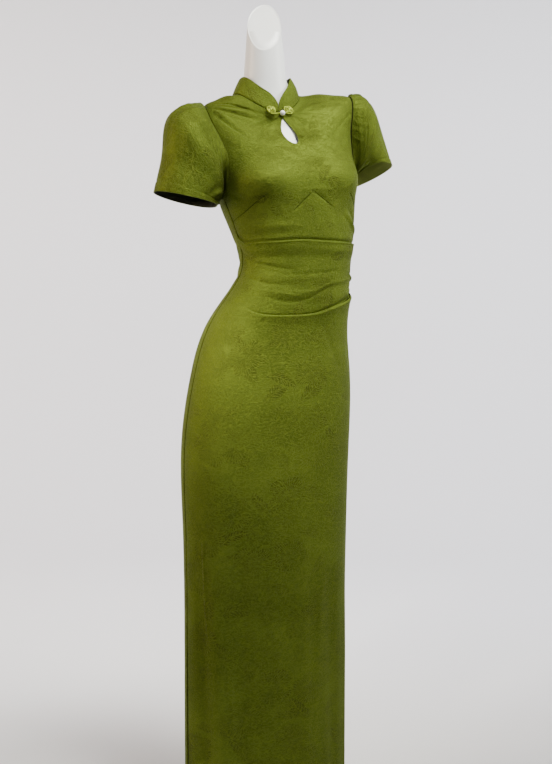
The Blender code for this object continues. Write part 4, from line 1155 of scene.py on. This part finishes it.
def tube(name, points, radius, material, sides=14, closed=False):
    """A round cord along points, with one radius or one for each point."""
    points = np.array(points, float)
    count = len(points)
    if closed:
        tangent = unit(np.roll(points, -1, axis=0) - np.roll(points, 1, axis=0))
    else:
        tangent = unit(np.gradient(points, axis=0))
    turn = np.linspace(0, 2 * math.pi, sides + 1)[:-1]
    cosine, sine = np.cos(turn)[:, None], np.sin(turn)[:, None]
    side = unit(np.cross(tangent[0], UP))
    rings = []
    for spot, ahead, thick in zip(points, tangent, radius + np.zeros(count)):
        side = unit(side - ahead * (side @ ahead))
        rings.append(spot + thick * (cosine * side + sine * np.cross(ahead, side)))
    number = np.arange(count * sides).reshape(count, sides)
    faces = list(grid_faces(number, True))
    if closed:
        faces += list(strip_faces(number[-1], number[0], True))
    else:
        faces += [number[0][::-1], number[-1]]
    mesh = mesh_from(name, np.concatenate(rings), faces)
    shape = bmesh.new()
    shape.from_mesh(mesh)
    bmesh.ops.recalc_face_normals(shape, faces=shape.faces)
    shape.to_mesh(mesh)
    shape.free()
    return add_object(name, mesh, [material])


def seam(name, angle, level, out, radius=0.0008, closed=False):
    """A dark tube of painted shade in a seam's gap, along angles and levels on the figure."""
    path = figure.point(angle, level, out + 0 * np.asarray(angle, float))
    return keep(tube(name, path, radius, seam_shadow, 6, closed), "satin")


def make_seams():
    middle = figure.level_at(1.122)
    for side, word in SIDE_WORD.items():
        # The far armhole's tube is thicker: a wider painted shadow in its gap.
        seam("armhole_seam_" + word, *from_flat(armhole_outline(side, 160)), 0.0010,
             0.0009 if side < 0 else 0.0026, closed=True)
        for part, low, high in (("upper", middle, figure.level_at(1.206)),
                                ("lower", figure.level_at(SLIT_TOP + 0.01), middle)):
            level = np.linspace(low, high, 120)
            seam("side_seam_" + part + "_" + word, side * 90.0 + 0 * level, level, 0.0004)
    # A thickening dark tube under the lip of the skirt's fold: painted shadow in the fold's gap.
    angle = np.linspace(40, 84, 60)
    seam("fold_gap_shadow", angle, fold_edge_level(angle) + 0.0014, 0.0022,
         0.0002 + 0.0016 * ramp(angle, 40, 44))
    level = np.linspace(figure.level_at(0.06), NECKLINE - 0.002, 240)
    seam("centre_back_seam", 180.0 + 0 * level, level, 0.0003, 0.0005)
    angle = np.linspace(3, 357, 200)
    seam("collar_seam", angle, NECKLINE + 0 * angle, 0.0004, 0.0006)


def on_front(across, below, out):
    return figure.point(math.degrees(across / NECK_SPAN), NECKLINE - below, np.array(FRONT_CLOTH + out))


def pearl_place():
    return on_front(0.0, PEARL_BELOW, PEARL_RADIUS + PEARL_OUT)


def make_coil(side):
    """One half of the frog: a cord wound flat, with its end led to the pearl."""
    centre = on_front(side * COIL_ACROSS[side], COIL_BELOW, COIL_OUT)
    outward = unit(on_front(side * (COIL_ACROSS[side] + CORD_RADIUS), COIL_BELOW, COIL_OUT) - centre)
    lean = math.radians(COIL_LEAN)
    upward = np.array([0.0, math.sin(lean), math.cos(lean)])
    upward = unit(upward - outward * (upward @ outward))
    ahead = np.cross(outward, upward) * side
    points = []
    for share in np.linspace(0, 1, 111):
        turn = COIL_END + 2 * math.pi * COIL_TURNS * (share - 1)
        radius = COIL_EYE + COIL_PITCH * COIL_TURNS * share
        points.append(centre - outward * radius * math.cos(turn) + upward * radius * math.sin(turn)
                      + ahead * COIL_DOME * (1 - share) ** 2)
    reach = pearl_place() - points[-1]
    shorter = 1 - (PEARL_RADIUS + SEAM_GAP) / np.linalg.norm(reach)
    points += [points[-1] + reach * shorter * share for share in np.linspace(0, 1, 12)[1:]]
    name = "frog_coil_" + SIDE_WORD[side]
    made = tube(name + "_cord", points, CORD_RADIUS * 0.76, cord)
    return keep(made, "satin_cord", name)


def make_pearl():
    """The pearl, with a small cord ring around its foot."""
    shape = bmesh.new()
    bmesh.ops.create_uvsphere(shape, u_segments=40, v_segments=24, radius=PEARL_RADIUS)
    for vertex in shape.verts:
        vertex.co.z *= 0.97
    mesh = bpy.data.meshes.new("pearl_button_bead")
    shape.to_mesh(mesh)
    shape.free()
    made = add_object("pearl_button_bead", mesh, [pearl], sharp=0)
    mesh.shade_smooth()
    made.location = pearl_place()
    keep(made, "pearl", "pearl_button")
    normal = figure.normal(0.0, np.array(NECKLINE - PEARL_BELOW))
    side = unit(np.cross(normal, UP))
    turn = np.linspace(0, 2 * math.pi, 41)[:-1, None]
    foot = pearl_place() - normal * PEARL_RADIUS * 0.62
    ring = foot + 0.0050 * (np.cos(turn) * side + np.sin(turn) * np.cross(side, normal))
    keep(tube("pearl_loop_cord", ring, 0.0010, cord, 10, closed=True), "satin_cord")


def drawn_in(ring, share, rise=0.0):
    """A ring drawn in towards its middle and raised."""
    middle = ring.mean(axis=0)
    return middle + (ring - middle) * share + rise * UP


def cut_height(ring):
    """The height of the neck's slanted cut at each point of a ring."""
    turn = math.radians(NECK_CUT_TURN)
    end = Ring(*NECK[-1])
    ahead = (ring[:, 0] - end.centre_x) * math.sin(turn) - (ring[:, 1] - end.centre_y) * math.cos(turn)
    return NECK_CUT_HEIGHT - NECK_CUT_SLOPE * ahead


def make_form():
    """The smooth shell of the form, with a flat plate on the slanted neck."""
    columns = 120
    angles = np.linspace(-180, 180, columns + 1)[:-1]
    chest = figure.level_at(1.380)
    marks = np.concatenate([[chest], figure.levels[SHOULDER_ROW:-1]])
    clears = np.array([FORM_CLEAR, FORM_CORNER, FORM_REST, FORM_CORNER, 0.006, 0.009])
    levels = np.concatenate([np.linspace(figure.level_at(FORM_BOTTOM), chest, 60),
                             np.linspace(chest, marks[-1], 30)[1:]])
    rings = [figure.point(angles, level, -depth + 0 * angles)
             for level, depth in zip(levels, np.interp(levels, marks, clears))]
    rings[:1] = [drawn_in(rings[0], 0.985), rings[0] + 0.002 * UP]
    neck = Rings(NECK)
    foot = neck.base(angles, 0.0)[:, 2]
    for share in np.linspace(0, 1, 30):
        ring = neck.base(angles, share * neck.levels[-1])
        ring[:, 2] = foot + share * (cut_height(ring) - foot)
        rings.append(ring)
    last = rings[-1]
    for inward, rise in ((0.985, 0.0), (0.955, 0.0), (0.945, -0.0012), (0.935, -0.0012), (0.925, 0.0),
                         (0.6, 0.0), (0.2, 0.0)):
        rings.append(drawn_in(last, inward, rise))
    number = np.arange(len(rings) * columns).reshape(-1, columns)
    ends = [[rings[0].mean(axis=0)], [rings[-1].mean(axis=0)]]
    faces = [*grid_faces(number, True), *fan_faces(number[0][::-1], number.size),
             *fan_faces(number[-1], number.size + 1)]
    mesh = mesh_from("form_shell", np.concatenate(rings + ends), faces)
    return keep(add_object("form_shell", mesh, [shell], sharp=50.0), "form_shell", "form_body")


def make_stage():
    """A pale floor that rises into a round backdrop on all sides."""
    floor = -0.0005
    curve = [(3.2 + 1.2 * math.sin(turn), 1.2 - 1.2 * math.cos(turn))
             for turn in np.radians(range(90, 9, -10))]
    profile = [(4.4, 6.0), *curve, (3.2, floor)]
    columns = 96
    turn = np.linspace(0, 2 * math.pi, columns + 1)[:-1]
    circle = np.stack([np.cos(turn), np.sin(turn), 0 * turn], axis=1)
    points = np.concatenate([radius * circle + height * UP for radius, height in profile] + [[floor * UP]])
    number = np.arange(len(profile) * columns).reshape(-1, columns)
    faces = [*grid_faces(number, True), *fan_faces(number[-1], number.size)]
    pale = grain_look("backdrop", (0.84, 0.84, 0.86), 0.9, 0.0, (0.83, 0.83, 0.85), (0.85, 0.85, 0.87), 1.2)
    add_object("backdrop", mesh_from("backdrop", points, faces), [pale])


def make_camera():
    data = bpy.data.cameras.new("camera")
    data.lens = 54.0
    data.sensor_fit = "VERTICAL"
    data.sensor_height = 36.0
    camera = bpy.data.objects.new("camera", data)
    camera.location = CAMERA_PLACE
    camera.rotation_euler = (math.radians(90), 0.0, math.radians(CAMERA_TURN))
    bpy.context.scene.collection.objects.link(camera)
    bpy.context.scene.camera = camera


# right and near are places to the photo's right and towards the camera
Light = namedtuple("Light", "name right near height size power color target spread")
LIGHTS = [
    ("key", 0.60, 0.55, 2.95, (0.9, 0.7), 14.2, (1.0, 1.0, 0.90), (0.05, 0.0, 1.30), 62),
    ("hip", -0.6, 1.5, 1.7, (0.2, 0.2), 0.70, (1.0, 0.95, 0.78), (-0.02, 0.0, 0.85), 20),
    ("warm side", -2.2, 0.25, 1.8, (1.0, 1.4), 14, (1.0, 0.76, 0.52), (0.0, 0.0, 1.30), 84),
    ("cool side", 2.2, 0.3, 1.9, (0.9, 0.9), 5.4, (0.94, 1.0, 0.92), (0.05, 0.0, 1.34), 58),
    ("warm backdrop", -1.3, -0.9, 2.9, (1.8, 1.6), 118, (1.0, 0.90, 0.82), (0.2, 4.0, 1.1), 150),
    ("cool backdrop", 1.3, -0.9, 2.9, (1.8, 1.6), 118, (0.90, 0.94, 1.0), (3.2, 2.6, 1.1), 150),
]


def area_light(row):
    data = bpy.data.lights.new(row.name, "AREA")
    data.spread = math.radians(row.spread)
    data.shape = "RECTANGLE"
    data.size, data.size_y = row.size
    data.energy = row.power
    data.color = row.color
    light = bpy.data.objects.new(row.name, data)
    place = CAMERA_RIGHT * row.right + TO_CAMERA * row.near + row.height * UP
    light.location = place
    ahead = unit(np.array(row.target) - place)
    flat = math.hypot(ahead[0], ahead[1])
    light.rotation_euler = (math.atan2(flat, -ahead[2]), 0.0, math.atan2(-ahead[0], ahead[1]))
    bpy.context.scene.collection.objects.link(light)


def make_lights():
    for row in map(Light._make, LIGHTS):
        area_light(row)
    world = bpy.data.worlds.new("studio")
    world.use_nodes = True
    background = world.node_tree.nodes["Background"]
    background.inputs["Color"].default_value = (1.0, 0.90, 0.78, 1.0)
    background.inputs["Strength"].default_value = 0.05
    bpy.context.scene.world = world


make_camera()
make_stage()
make_lights()
bodice = make_bodice()
front = make_front()
back_right, back_left = make_back(-1), make_back(1)
collar = make_collar()
sleeve_right, sleeve_left = make_sleeve(-1), make_sleeve(1)
make_seams()
# The darts are real sewn lines; their dark colour is painted shade along them.
keep(ribbon("dart_seam_shadows", DARTS, 0.0009, seam_shadow), "satin")
for coil_side in (-1, 1):
    make_coil(coil_side)
make_pearl()
make_form()
for name in ("form_pole", "form_base"):
    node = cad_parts[name]
    node.data.materials.clear()
    node.data.materials.append(steel)

bpy.context.view_layer.update()
